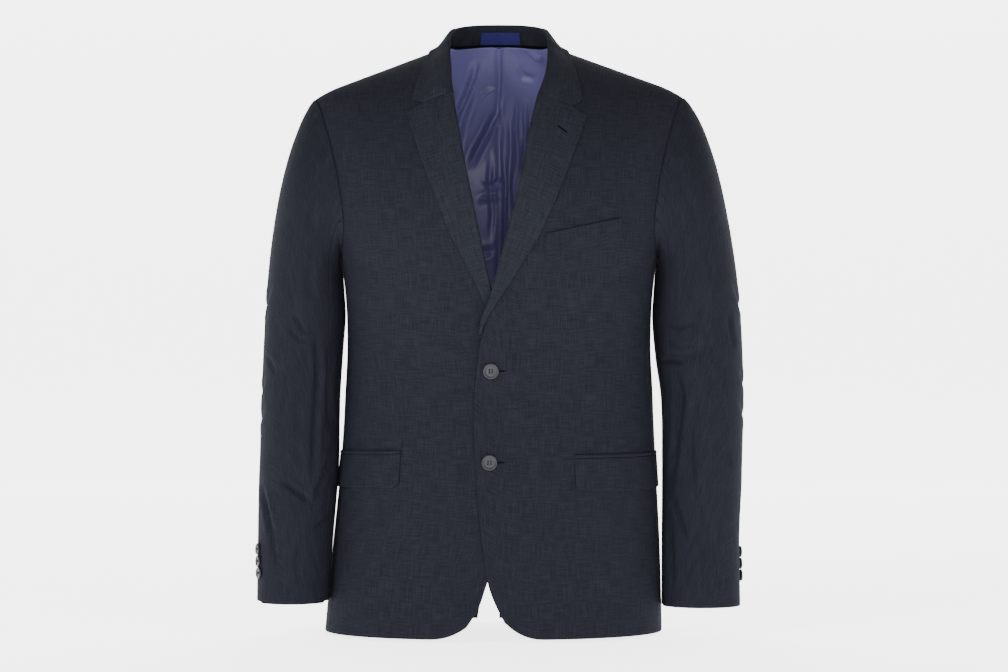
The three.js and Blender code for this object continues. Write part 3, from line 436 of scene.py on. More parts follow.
class Armhole:
    """Places round an armhole from its top at the shoulder, positive to the front."""

    def __init__(self, side: Side) -> None:
        """Fits the front and back curves of one side's armhole.

        Args:
            side: The wearer's side.
        """
        self.side = side
        self.top = float(ridge(side.value * SHOULDER_HALF))
        turn = float(Body.front_angle(SHOULDER_HALF, self.top))
        rounds = (0, *ARMHOLE_TURN["round"])
        self.front = Curve(rounds, (turn, *ARMHOLE_TURN["front"]))
        self.back = Curve(rounds, (turn, *ARMHOLE_TURN["back"]))

    def place(self, turn: Values) -> tuple:
        """The body's angle and height at each turn round the armhole.

        Args:
            turn: Degrees round.

        Returns:
            Angle and height.
        """
        turn = np.asarray(turn, float)
        middle, half = (self.top + ARMHOLE_BOTTOM) / 2, (self.top - ARMHOLE_BOTTOM) / 2
        away = np.abs(turn)
        angle = np.where(turn >= 0, self.front(away), 180 - self.back(away))
        return self.side.value * angle, middle + half * np.cos(np.radians(away))


ARMHOLES = {side: Armhole(side) for side in Side}
ROLL_X = {side: Curve(ROLL[side]["z"], ROLL[side]["x"]) for side in Side}
EDGE_X = {side: Curve(FRONT_EDGE[side]["z"], FRONT_EDGE[side]["x"]) for side in Side}
LAPEL_X = {side: Curve(LAPEL_EDGE[side]["z"], LAPEL_EDGE[side]["x"]) for side in Side}


def front_inner_x(side: Side, z: Values) -> Values:
    """x of a front's free edge, and of its roll line above the break."""
    rolled = ROLL_X[side](z) + side.value * ROLL_INSET * smooth(z, BREAK, BREAK + 30)
    return np.where(np.asarray(z) < BREAK, EDGE_X[side](z), rolled)


def front_lift(side: Side, x: Values, z: Values) -> Values:
    """How far out of the body's surface a front lies where the two lap.

    Args:
        side: The wearer's side.
        x: Across, in millimetres.
        z: Up, in millimetres.

    Returns:
        Millimetres outwards.
    """
    if side is Side.RIGHT:
        return -2.6 * smooth(x, -62, -36) * smooth(z, -722, -690)
    above = smooth(z, -440, -400) * (1 - smooth(z, -300, -230))
    return 2.7 * above * (1 - smooth(x, 2, 30))


def spaced(length: float, spacing: float) -> np.ndarray:
    """Shares from 0 to 1 of a length, with close rows at both ends for a rolled edge.

    Args:
        length: Length in millimetres.
        spacing: Distance between rows in millimetres.

    Returns:
        Rising shares.
    """
    count = max(2, round(length / spacing))
    inner = np.linspace(EDGE_WIDTH / length, 1 - EDGE_WIDTH / length, count + 1)
    fine = 0.4 * EDGE_WIDTH / length
    return np.concatenate([[0, fine], inner, [1 - fine, 1]])


def rolled(rows: int, across: int) -> np.ndarray:
    """How far each point of a grid made with spaced rows sinks to roll its edges under.

    Args:
        rows: Rows of the grid.
        across: Points in a row.

    Returns:
        Millimetres inwards.
    """
    def ends(count: int) -> np.ndarray:
        """The drop at both ends of a row.

        Args:
            count: Points in the row.

        Returns:
            Millimetres inwards.
        """
        drop = np.zeros(count)
        drop[[0, -1]] = EDGE_DROP
        drop[[1, -2]] = EDGE_DROP * 0.22
        return drop
    return np.maximum(ends(rows)[:, None], ends(across)[None, :])


def filled(edges: dict, us: np.ndarray, vs: np.ndarray) -> tuple:
    """Angles and heights filled in between four edges.

    Args:
        edges: left and right by height share, bottom and top by width share, each giving two arrays.
        us: shares across.
        vs: shares up.

    Returns:
        The angles and the heights, one row for each height share.
    """
    ends = np.array([0.0, 1.0])
    made = []
    sides = [edges[name](vs) for name in ("left", "right")]
    caps = [edges[name](us) for name in ("bottom", "top")]
    corners = [edges[name](ends) for name in ("left", "right")]
    u, v = us[None, :], vs[:, None]
    for k in (0, 1):
        left, right = np.asarray(sides[0][k])[:, None], np.asarray(sides[1][k])[:, None]
        bottom, top = np.asarray(caps[0][k])[None, :], np.asarray(caps[1][k])[None, :]
        low = mix(corners[0][k][0], corners[1][k][0], u)
        high = mix(corners[0][k][1], corners[1][k][1], u)
        made.append(mix(left, right, u) + mix(bottom, top, v) - mix(low, high, v))
    return made[0], made[1]


class SleeveForm:
    """The form of one sleeve: step 0 is at the armhole, round 0 its outer side and 90 its front."""

    creases: tuple = ()

    def __init__(self, side: Side) -> None:
        """Fits the curves of one sleeve's sections and seams.

        Args:
            side: The wearer's side.
        """
        self.side = side
        self.table = curves(SLEEVE[side], "step")
        self.seams = curves(SLEEVE_SEAMS[side], "step")

    def section(self, step: Values, turn: Values) -> np.ndarray:
        """Points of the plain section.

        Args:
            step: How far down the sleeve, in sections.
            turn: Degrees round.

        Returns:
            Points in millimetres.
        """
        step, turn = np.broadcast_arrays(np.asarray(step, float), np.asarray(turn, float))
        sign = self.side.value
        zero = np.zeros(step.shape)
        outer = np.stack([sign * self.table["outX"](step), zero, self.table["outZ"](step)], axis=-1)
        inner = np.stack([sign * self.table["inX"](step), zero, self.table["inZ"](step)], axis=-1)
        cos, sin = np.cos(np.radians(turn)), np.sin(np.radians(turn))
        depth = np.where(sin > 0, self.table["front"](step), self.table["back"](step))
        points = (outer + inner) / 2 + (outer - inner) * cos[..., None] / 2
        points[..., 1] = self.table["mid"](step) - depth * sin
        return points

    def start(self, turn: Values) -> tuple:
        """The sleeve's edge in the armhole, clear of the body, and the way that it faces there.

        Args:
            turn: Degrees round.

        Returns:
            Points and unit directions.
        """
        hole = ARMHOLES[self.side]
        angle, z = hole.place(turn)
        normal = Body.normal(angle, z)
        edge = Body.on(angle, z, -EDGE_DROP * 0.5)
        ahead = Body.point(*hole.place(np.minimum(turn + 3, 180)))
        behind = Body.point(*hole.place(np.maximum(turn - 3, -180)))
        outward = unit(np.cross(ahead - behind, normal) * -self.side.value)
        lean = smooth(np.abs(turn), 105, 180)[..., None] * math.pi / 2
        away = outward * np.cos(lean) + normal * np.sin(lean)
        facing = normal * np.cos(lean) - outward * np.sin(lean)
        return edge + away * (SEAM + 0.15), facing

    def fold(self, step: Values, turn: Values) -> np.ndarray:
        """Depth of the largest folds.

        Args:
            step: How far down the sleeve, in sections.
            turn: Degrees round.

        Returns:
            Millimetres inwards.
        """
        total = np.zeros(np.broadcast(step, turn).shape)
        for at, middle, lean, long, wide, depth in SLEEVE_FOLDS[self.side]:
            down = (step - at) / long
            around = (turn - middle - lean * (step - at)) / wide
            total += depth * np.exp(-down * down - around * around)
        return total

    def point(self, step: Values, turn: Values) -> np.ndarray:
        """Points of the surface before the small creases.

        Args:
            step: How far down the sleeve, in sections.
            turn: Degrees round.

        Returns:
            Points in millimetres.
        """
        step, turn = np.broadcast_arrays(np.asarray(step, float), np.asarray(turn, float))
        points = self.section(step, turn)
        strayed = self.start(turn)[0] - self.section(0, turn)
        points = points + strayed * (1 - smooth(step, 0, 3.5))[..., None]
        centre = (self.section(step, 0) + self.section(step, 180)) / 2
        return points + unit(centre - points) * self.fold(step, turn)[..., None]

    def normal(self, step: Values, turn: Values) -> np.ndarray:
        """Outward directions.

        Args:
            step: How far down the sleeve, in sections.
            turn: Degrees round.

        Returns:
            Unit directions.
        """
        around = self.point(step, turn + 1) - self.point(step, turn - 1)
        down = self.point(step + 0.1, turn) - self.point(step, turn)
        normal = unit(np.cross(around, down) * self.side.value)
        share = smooth(step, 0, 1)[..., None]
        return unit(normal * share + self.start(turn)[1] * (1 - share))

    def on(self, step: Values, turn: Values, lift: Values) -> np.ndarray:
        """Points at a lift out of the creased surface, a little full just below the armhole.

        Args:
            step: How far down the sleeve, in sections.
            turn: Degrees round.
            lift: Millimetres out of the surface.

        Returns:
            Points in millimetres.
        """
        step, turn = np.broadcast_arrays(np.asarray(step, float), np.asarray(turn, float))
        points, normals = self.point(step, turn), self.normal(step, turn)
        rise = smooth(step, 0.0, 0.12) * (1 - smooth(step, 0.12, 1.1))
        cap = SLEEVE_HEAD * rise * (1 - smooth(np.abs(turn), 70, 120))
        out = np.broadcast_to(np.asarray(lift, float), step.shape) + cap
        return points + normals * (out[..., None] - creased(points, normals, self.creases))


SLEEVES = {side: SleeveForm(side) for side in Side}


def bezier(*guides: np.ndarray, t: np.ndarray) -> np.ndarray:
    """Points of cubic curves: rows are curves and columns are the shares t.

    Args:
        guides: The four guide points of each curve.
        t: Shares along the curves.

    Returns:
        One row of points for each curve.
    """
    t = t[None, :, None]
    a, b, c, d = (guide[:, None, :] for guide in guides)
    return a * (1 - t) ** 3 + 3 * b * t * (1 - t) ** 2 + 3 * c * t * t * (1 - t) + d * t ** 3


class CollarForm:
    """Half of the collar: at 0 is its front end and 6 the centre back, across 0 the stand's foot."""

    def __init__(self, side: Side) -> None:
        """Fits the curves of half the collar and finds where its gorge meets the roll line.

        Args:
            side: The wearer's side.
        """
        self.side = side
        self.table = curves(COLLAR, "turn")
        gorge_z = NOTCH[side][0]
        self.gorge = (float(ROLL_X[side](gorge_z)), gorge_z)

    def guides(self, at: np.ndarray) -> tuple:
        """The foot, fold, edge and the way the edge faces at each place.

        Args:
            at: Places round the neck.

        Returns:
            Three rows of points and one of directions.
        """
        sign, value = self.side.value, {name: curve(at) for name, curve in self.table.items()}
        foot = np.stack([sign * value["footX"], value["footY"], value["footZ"]], axis=-1)
        foot[:, 2] += (self.gorge[1] + 0.8 - COLLAR["footZ"][0]) * (1 - smooth(at, 0, 1.3))
        x = front_inner_x(self.side, foot[:, 2]) - sign * 1.6
        sewn = Body.on(Body.front_angle(x, foot[:, 2]), foot[:, 2], -CLOTH)
        foot = mix(foot, sewn, (1 - smooth(at, 2, 3))[:, None])
        fold = np.stack([sign * value["foldX"], value["foldY"], value["foldZ"]], axis=-1)
        x, z = sign * value["edgeX"], value["edgeZ"]
        angle = np.where(at < 3, Body.front_angle(x, z), Body.back_angle(1, x, z))
        return foot, fold, Body.on(angle, z, LAY + CLOTH), Body.normal(angle, z)

    @staticmethod
    def curve(guides: tuple, across: np.ndarray) -> np.ndarray:
        """The collar's free shape: the stand up to its fold, then the fall.

        Args:
            guides: What guides gives at each place.
            across: Shares from the foot to the edge.

        Returns:
            Rows of points.
        """
        foot, fold, edge, normal = guides
        axis = unit(fold - (foot + edge) / 2)
        over = edge - foot
        over = unit(over - axis * dot(over, axis))
        rise = fold - foot
        height = np.linalg.norm(rise, axis=-1, keepdims=True)
        run = edge - fold
        length = np.linalg.norm(run, axis=-1, keepdims=True)
        slide = unit(run - normal * dot(run, normal))
        stand = bezier(foot, foot + rise * 0.45, fold - over * height * 0.15, fold,
                       t=np.clip(across / FOLD_AT, 0, 1))
        fall = bezier(fold, fold + over * length * 0.2, edge - slide * length * 0.4, edge,
                      t=np.clip((across - FOLD_AT) / (1 - FOLD_AT), 0, 1))
        return np.where((across <= FOLD_AT)[None, :, None], stand, fall)

    def end(self, across: np.ndarray) -> np.ndarray:
        """The front end, along the gorge and the notch, level with the lapel.

        Args:
            across: Shares from the foot to the edge.

        Returns:
            Points in millimetres.
        """
        _, inner, corner = NOTCH[self.side]
        t = np.maximum(0, (across - FOLD_AT) / (1 - FOLD_AT))
        share = 0.76
        first, second = np.minimum(t / share, 1), np.maximum((t - share) / (1 - share), 0)
        x, z = (mix(mix(self.gorge[k], inner[k], first), corner[k], second) for k in (0, 1))
        top = LAY + CLOTH + ROLL_PUFF * (1 - t) ** 2
        radius = (top + CLOTH) / 2
        rise = smooth(t, 0, 0.1)
        points = Body.on(Body.front_angle(x, z), z, mix(top - radius, top, rise))
        points[:, 0] -= self.side.value * radius * (1 - rise)
        return points

    def points(self, at: np.ndarray, across: np.ndarray) -> np.ndarray:
        """The outer face, clear of the body, one row for each place round the neck.

        Args:
            at: Places round the neck.
            across: Shares from the foot to the edge.

        Returns:
            Rows of points in millimetres.
        """
        free = self.curve(self.guides(at), across)
        base = self.curve(self.guides(np.zeros(1)), np.maximum(across, FOLD_AT))[0]
        strayed = (self.end(across) - base) * np.minimum(1, across / FOLD_AT)[:, None]
        points = free + strayed[None] * (1 - smooth(at, 0, 1.3))[:, None, None]
        x, y = points[..., 0], points[..., 1]
        z = np.minimum(points[..., 2], ridge(x) - 0.2)
        is_front = y < Body.ring["mid"](z)
        angle = np.where(is_front, Body.front_angle(x, z), Body.back_angle(1, x, z))
        normal = Body.normal(angle, z)
        short = LAY + CLOTH - dot(points - Body.on(angle, z, 0), normal)
        return points + normal * np.maximum(short, 0) * (across >= FOLD_AT)[None, :, None]


class Weave(Enum):
    """What a cloth's finer look is."""

    WORSTED = "worsted"
    SATIN = "satin"
    RIBBON = "ribbon"


def linear(code: str) -> tuple:
    """A hex sRGB colour as linear values with alpha."""
    values = [int(code[i:i + 2], 16) / 255 for i in (1, 3, 5)]
    return (*[v / 12.92 if v <= 0.04045 else ((v + 0.055) / 1.055) ** 2.4 for v in values], 1.0)


class Nodes:
    """A material's node tree, built with one helper."""

    def __init__(self, name: str) -> None:
        """Makes an empty material of that name.

        Args:
            name: The material's name.
        """
        self.material = bpy.data.materials.new(name)
        self.material.use_nodes = True
        self.tree = self.material.node_tree
        self.tree.nodes.clear()

    def add(self, kind: str, settings: dict | None = None, **inputs) -> bpy.types.Node:
        """Adds a node, with its properties from settings and its sockets from values or other sockets.

        Args:
            kind: The node's type.
            settings: Properties to set.
            inputs: Sockets by name, with _ for a space, or by number as i0.

        Returns:
            The new node.
        """
        node = self.tree.nodes.new(kind)
        for key, value in (settings or {}).items():
            setattr(node, key, value)
        for key, value in inputs.items():
            name = key.replace("_", " ")
            socket = node.inputs[int(key[1:])] if key[1:].isdigit() else node.inputs[name]
            if isinstance(value, bpy.types.NodeSocket):
                self.tree.links.new(value, socket)
            else:
                socket.default_value = value
        return node

    def math(self, operation: str, *values) -> bpy.types.NodeSocket:
        """One math node's result."""
        named = {f"i{k}": value for k, value in enumerate(values)}
        return self.add("ShaderNodeMath", {"operation": operation}, **named).outputs[0]

    def finish(self, shader: bpy.types.Node, bump: bpy.types.Node | None = None) -> bpy.types.Material:
        """Joins the shader to the output.

        Args:
            shader: The surface shader.
            bump: The relief, where there is one.

        Returns:
            The finished material.
        """
        if bump is not None:
            self.tree.links.new(bump.outputs["Normal"], shader.inputs["Normal"])
        output = self.tree.nodes.new("ShaderNodeOutputMaterial")
        self.tree.links.new(shader.outputs[0], output.inputs["Surface"])
        return self.material


@dataclass(frozen=True)
class Cloth:
    """A woven cloth: its colour, its threads in millimetres and how it takes the light."""

    name: str
    weave: Weave
    color: str
    melange: float
    roughness: float
    sheen: float
    sheen_color: str
    relief_mm: float

    def threads(self, nodes: Nodes, across: float, along: float, seed: float) -> bpy.types.NodeSocket:
        """A noise drawn out along one thread direction, over real sizes.

        Args:
            nodes: The material's nodes.
            across: Width of a thread in metres.
            along: Length before a thread changes, in metres.
            seed: What sets this noise apart.

        Returns:
            The noise's output.
        """
        uv = nodes.add("ShaderNodeUVMap", {"uv_map": "grain"})
        stretch = (1 / across, 1 / along, 1.0)
        spread = nodes.add("ShaderNodeMapping", {"vector_type": "POINT"}, Vector=uv.outputs[0],
                           Scale=stretch, Location=(seed, seed, 0))
        noise = nodes.add("ShaderNodeTexNoise", {"noise_dimensions": "2D"}, Vector=spread.outputs[0],
                          Scale=1.0, Detail=2.0, Roughness=0.55)
        return noise.outputs["Fac"]

    def material(self) -> bpy.types.Material:
        """The cloth's material, with warp and weft threads on the piece's own grain.

        Returns:
            The finished material.
        """
        # Real worsted yarns are about 0.2 mm wide, too fine to show, so they are drawn coarser at 0.45 mm,
        # and the slubs at 1.1 mm
        nodes = Nodes(self.name)
        warp = self.threads(nodes, 0.0011, 0.026, 3.1)
        weft = self.threads(nodes, 0.024, 0.0012, 8.7)
        fine_warp = self.threads(nodes, 0.00045, 0.0022, 5.3)
        fine_weft = self.threads(nodes, 0.0022, 0.00045, 1.9)
        slubs = nodes.math("MULTIPLY_ADD", nodes.math("ADD", warp, weft), 0.62, -0.12)
        yarns = nodes.math("ADD", fine_warp, fine_weft)
        shade = nodes.math("ADD", slubs, nodes.math("MULTIPLY_ADD", yarns, 0.6, -0.6))
        level = nodes.math("MULTIPLY_ADD", shade, 2 * self.melange, 1 - self.melange)
        base = linear(self.color)
        tint = nodes.add("ShaderNodeMix", {"data_type": "RGBA", "blend_type": "MULTIPLY"})
        tint.inputs[0].default_value = 1.0
        tint.inputs[6].default_value = base
        gray = nodes.add("ShaderNodeCombineColor", {}, i0=level, i1=level, i2=level)
        nodes.tree.links.new(gray.outputs[0], tint.inputs[7])
        bump = nodes.add("ShaderNodeBump", {}, Strength=1.0, Distance=self.relief_mm * MM, Height=yarns)
        shader = nodes.add("ShaderNodeBsdfPrincipled", {}, Base_Color=tint.outputs[2],
                           Roughness=self.roughness, Sheen_Weight=self.sheen, Sheen_Roughness=0.45,
                           Sheen_Tint=linear(self.sheen_color), Specular_IOR_Level=0.07)
        if self.weave is Weave.SATIN:
            shader.inputs["Anisotropic"].default_value = 0.4
            shader.inputs["Specular IOR Level"].default_value = 0.4
        return nodes.finish(shader, bump)


# Worsted wool is matt, nearly black and a little uneven; the facing on the lapels and collar is the same
# cloth painted a shade lighter, as painted light for the light their faces catch. The satin lining takes
# soft bright streaks of light, and the label's woven ribbon is plain navy
SUITING = Cloth("worsted wool", Weave.WORSTED, "#17181F", 0.85, 0.88, 0.02, "#7E869C", 0.2)
PAINTED_LIT_FACING = Cloth("worsted wool painted lighter", Weave.WORSTED, "#191B21", 0.85, 0.88, 0.02, "#8A909E", 0.2)
SATIN = Cloth("viscose satin", Weave.SATIN, "#534F7A", 0.06, 0.42, 0.15, "#A6A6D0", 0.02)
RIBBON = Cloth("woven label ribbon", Weave.RIBBON, "#20204C", 0.2, 0.75, 0.05, "#5A5AB0", 0.1)


@dataclass(frozen=True)
class Hard:
    """A plain solid finish with a cloudy variation, for buttons and thread."""

    name: str
    color: str
    roughness: float
    cloud: float
    cloud_mm: float
    shine: float

    def material(self) -> bpy.types.Material:
        """The finish's material.

        Returns:
            The finished material.
        """
        nodes = Nodes(self.name)
        place = nodes.add("ShaderNodeTexCoord")
        noise = nodes.add("ShaderNodeTexNoise", {}, Vector=place.outputs["Object"],
                          Scale=1 / (self.cloud_mm * MM), Detail=3.0, Roughness=0.6)
        level = nodes.math("MULTIPLY_ADD", noise.outputs["Fac"], 2 * self.cloud, 1 - self.cloud)
        gray = nodes.add("ShaderNodeCombineColor", {}, i0=level, i1=level, i2=level)
        tint = nodes.add("ShaderNodeMix", {"data_type": "RGBA", "blend_type": "MULTIPLY"})
        tint.inputs[0].default_value = 1.0
        tint.inputs[6].default_value = linear(self.color)
        nodes.tree.links.new(gray.outputs[0], tint.inputs[7])
        shader = nodes.add("ShaderNodeBsdfPrincipled", {}, Base_Color=tint.outputs[2],
                           Roughness=self.roughness, Specular_IOR_Level=self.shine)
        return nodes.finish(shader)


# Polyester buttons made to look like horn, dark and half glossy, and the dull navy thread of the sewing
HORN = Hard("polyester horn", "#232428", 0.4, 0.5, 4.0, 0.26)
THREAD = Hard("navy sewing thread", "#17181F", 0.85, 0.1, 1.0, 0.06)
# Painted shade: nearly black and matt, so that the slit of a buttonhole reads as open
SHADOW = Hard("shadow in a buttonhole", "#020203", 0.9, 0.0, 1.0, 0.0)


def grain(points: np.ndarray, start_x: np.ndarray | None = None) -> np.ndarray:
    """Real distances across and along a grid, in metres, as texture coordinates.

    Args:
        points: rows up the piece by columns across it, in millimetres.
        start_x: where each row starts, or None to count from the middle column.
    """
    across = np.linalg.norm(np.diff(points, axis=1), axis=-1)
    across = np.concatenate([np.zeros((len(points), 1)), np.cumsum(across, axis=1)], axis=1)
    along = np.linalg.norm(np.diff(points, axis=0), axis=-1)
    along = np.concatenate([np.zeros((1, points.shape[1])), np.cumsum(along, axis=0)], axis=0)
    offset = -across[:, [points.shape[1] // 2]] if start_x is None else start_x[:, None]
    return np.stack([across + offset, along], axis=-1) * MM


@dataclass
class Shell:
    """A closed thin wall between two grids of points, in millimetres.

    Where turned is true its inner face has the outer cloth too, as a hem and a facing have.
    """

    name: str
    outer: np.ndarray
    inner: np.ndarray
    outside: bpy.types.Material
    inside: bpy.types.Material | None = None
    uv: np.ndarray | None = None
    turned: np.ndarray | None = None

    def quads(self) -> tuple:
        """The faces, and for each whether it is an inner one.

        Returns:
            Corner numbers and the mask of inner faces.
        """
        rows, across = self.outer.shape[:2]
        grid = np.arange(rows * across).reshape(rows, across)
        a, b, c, d = grid[:-1, :-1], grid[:-1, 1:], grid[1:, 1:], grid[1:, :-1]
        face = np.stack([a, b, c, d], axis=-1).reshape(-1, 4)
        back = face[:, ::-1] + rows * across
        loop = np.concatenate([grid[0, :-1], grid[:-1, -1], grid[-1, :0:-1], grid[:0:-1, 0]])
        ahead = np.roll(loop, -1)
        rim = np.stack([ahead, loop, loop + rows * across, ahead + rows * across], axis=-1)
        faces = np.concatenate([face, rim, back])
        lined = np.ones((rows, across), bool) if self.turned is None else ~self.turned
        is_inner = np.concatenate([np.zeros(len(face) + len(rim), bool), lined[:-1, :-1].ravel()])
        return faces, is_inner

    def build(self) -> bpy.types.Object:
        """Makes the object, with its faces turned outwards.

        Returns:
            The new object.
        """
        faces, is_inner = self.quads()
        points = np.concatenate([self.outer.reshape(-1, 3), self.inner.reshape(-1, 3)]) * MM
        a, b, c, d = (points[faces[:, k]] for k in range(4))
        volume = np.sum(a * np.cross(b, c)) + np.sum(a * np.cross(c, d))
        if volume < 0:
            faces = faces[:, ::-1]
        uv = (grain(self.outer) if self.uv is None else self.uv).reshape(-1, 2)
        obj = mesh_object(self.name, points, faces, np.concatenate([uv, uv]))
        obj.data.materials.append(self.outside)
        if self.inside is not None:
            obj.data.materials.append(self.inside)
            obj.data.polygons.foreach_set("material_index", is_inner.astype(np.int32))
        log.info("%s: %d faces", self.name, len(faces))
        return obj


def mesh_object(name: str, points: np.ndarray, faces: np.ndarray,
                uv: np.ndarray | None = None) -> bpy.types.Object:
    """A smooth object from points in metres and faces with one count of corners.

    Args:
        name: The object's name.
        points: Points in metres.
        faces: Corner numbers, a row to a face.
        uv: The place of each point on the grain.

    Returns:
        The new object.
    """
    mesh = bpy.data.meshes.new(name)
    corners = faces.shape[1]
    mesh.vertices.add(len(points))
    mesh.vertices.foreach_set("co", points.astype(np.float32).ravel())
    mesh.loops.add(faces.size)
    mesh.loops.foreach_set("vertex_index", faces.astype(np.int32).ravel())
    mesh.polygons.add(len(faces))
    mesh.polygons.foreach_set("loop_start", np.arange(0, faces.size, corners, dtype=np.int32))
    mesh.polygons.foreach_set("loop_total", np.full(len(faces), corners, dtype=np.int32))
    mesh.polygons.foreach_set("use_smooth", np.ones(len(faces), bool))
    if uv is not None:
        layer = mesh.uv_layers.new(name="grain")
        layer.data.foreach_set("uv", uv[faces.ravel()].astype(np.float32).ravel())
    mesh.update(calc_edges=True)
    obj = bpy.data.objects.new(name, mesh)
    bpy.context.scene.collection.objects.link(obj)
    return obj


def cut_of(points: np.ndarray) -> tuple:
    """The flat width, length and area of a grid in metres, as it is cut.

    Args:
        points: Grid of points in metres.

    Returns:
        Width, length and area in metres.
    """
    across = np.linalg.norm(np.diff(points, axis=1), axis=-1).sum(axis=1).max()
    along = np.linalg.norm(np.diff(points, axis=0), axis=-1).sum(axis=0).max()
    first = np.cross(points[1:, :-1] - points[:-1, :-1], points[:-1, 1:] - points[:-1, :-1])
    second = np.cross(points[1:, :-1] - points[1:, 1:], points[:-1, 1:] - points[1:, 1:])
    area = (np.linalg.norm(first, axis=-1).sum() + np.linalg.norm(second, axis=-1).sum()) / 2
    return across * MM, along * MM, area * MM * MM


def settle(obj: bpy.types.Object, nodes: tuple, grid: np.ndarray | None = None) -> bpy.types.Object:
    """Puts a finished piece in the place of its solids, and works out its cut without keeping it.

    Args:
        obj: The finished object.
        nodes: The solids that it takes the place of.
        grid: The outer face's grid in metres.

    Returns:
        The same object.
    """
    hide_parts(*nodes)
    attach(obj, "root")
    if grid is not None:
        width, length, area = cut_of(grid)
        min(area, width * length)
    return obj


GRID = 3.8
SLEEVE_GRID = GRID * 0.75


def body_shell(edges: dict, width: float, height: float, lift: Callable | None = None) -> tuple:
    """A panel of the body: its outer and inner grids between four edges.

    Args:
        edges: its four edges, as filled() takes them.
        width, height: its real size in millimetres, for the spacing of the grid.
        lift: the lift at each x and height.

    Returns:
        The two grids of points.
    """
    us = spaced(width, GRID)
    vs = spaced(height, GRID)
    angle, z = filled(edges, us, vs)
    out = np.zeros(angle.shape) if lift is None else lift(Body.point(angle, z)[..., 0], z)
    drop = rolled(len(vs), len(us))
    return Body.on(angle, z, out - drop), Body.on(angle, z, out - CLOTH + drop * 0.4)


def two_spans(v: np.ndarray, low: float, joint: float, high: float) -> np.ndarray:
    """Heights by share up a panel that meets the armhole at SIDE_SHARE."""
    below, above = mix(low, joint, v / SIDE_SHARE), mix(joint, high, (v - SIDE_SHARE) / (1 - SIDE_SHARE))
    return np.where(v < SIDE_SHARE, below, above)


# The suit cloth turns in at the hem, down the front edge and beside the vent, so that the inner face
# there is dark and matt where the lining would shine
HEM_DEEP = 45.0
FACING_WIDE = 80.0
VENT_FACING = 50.0


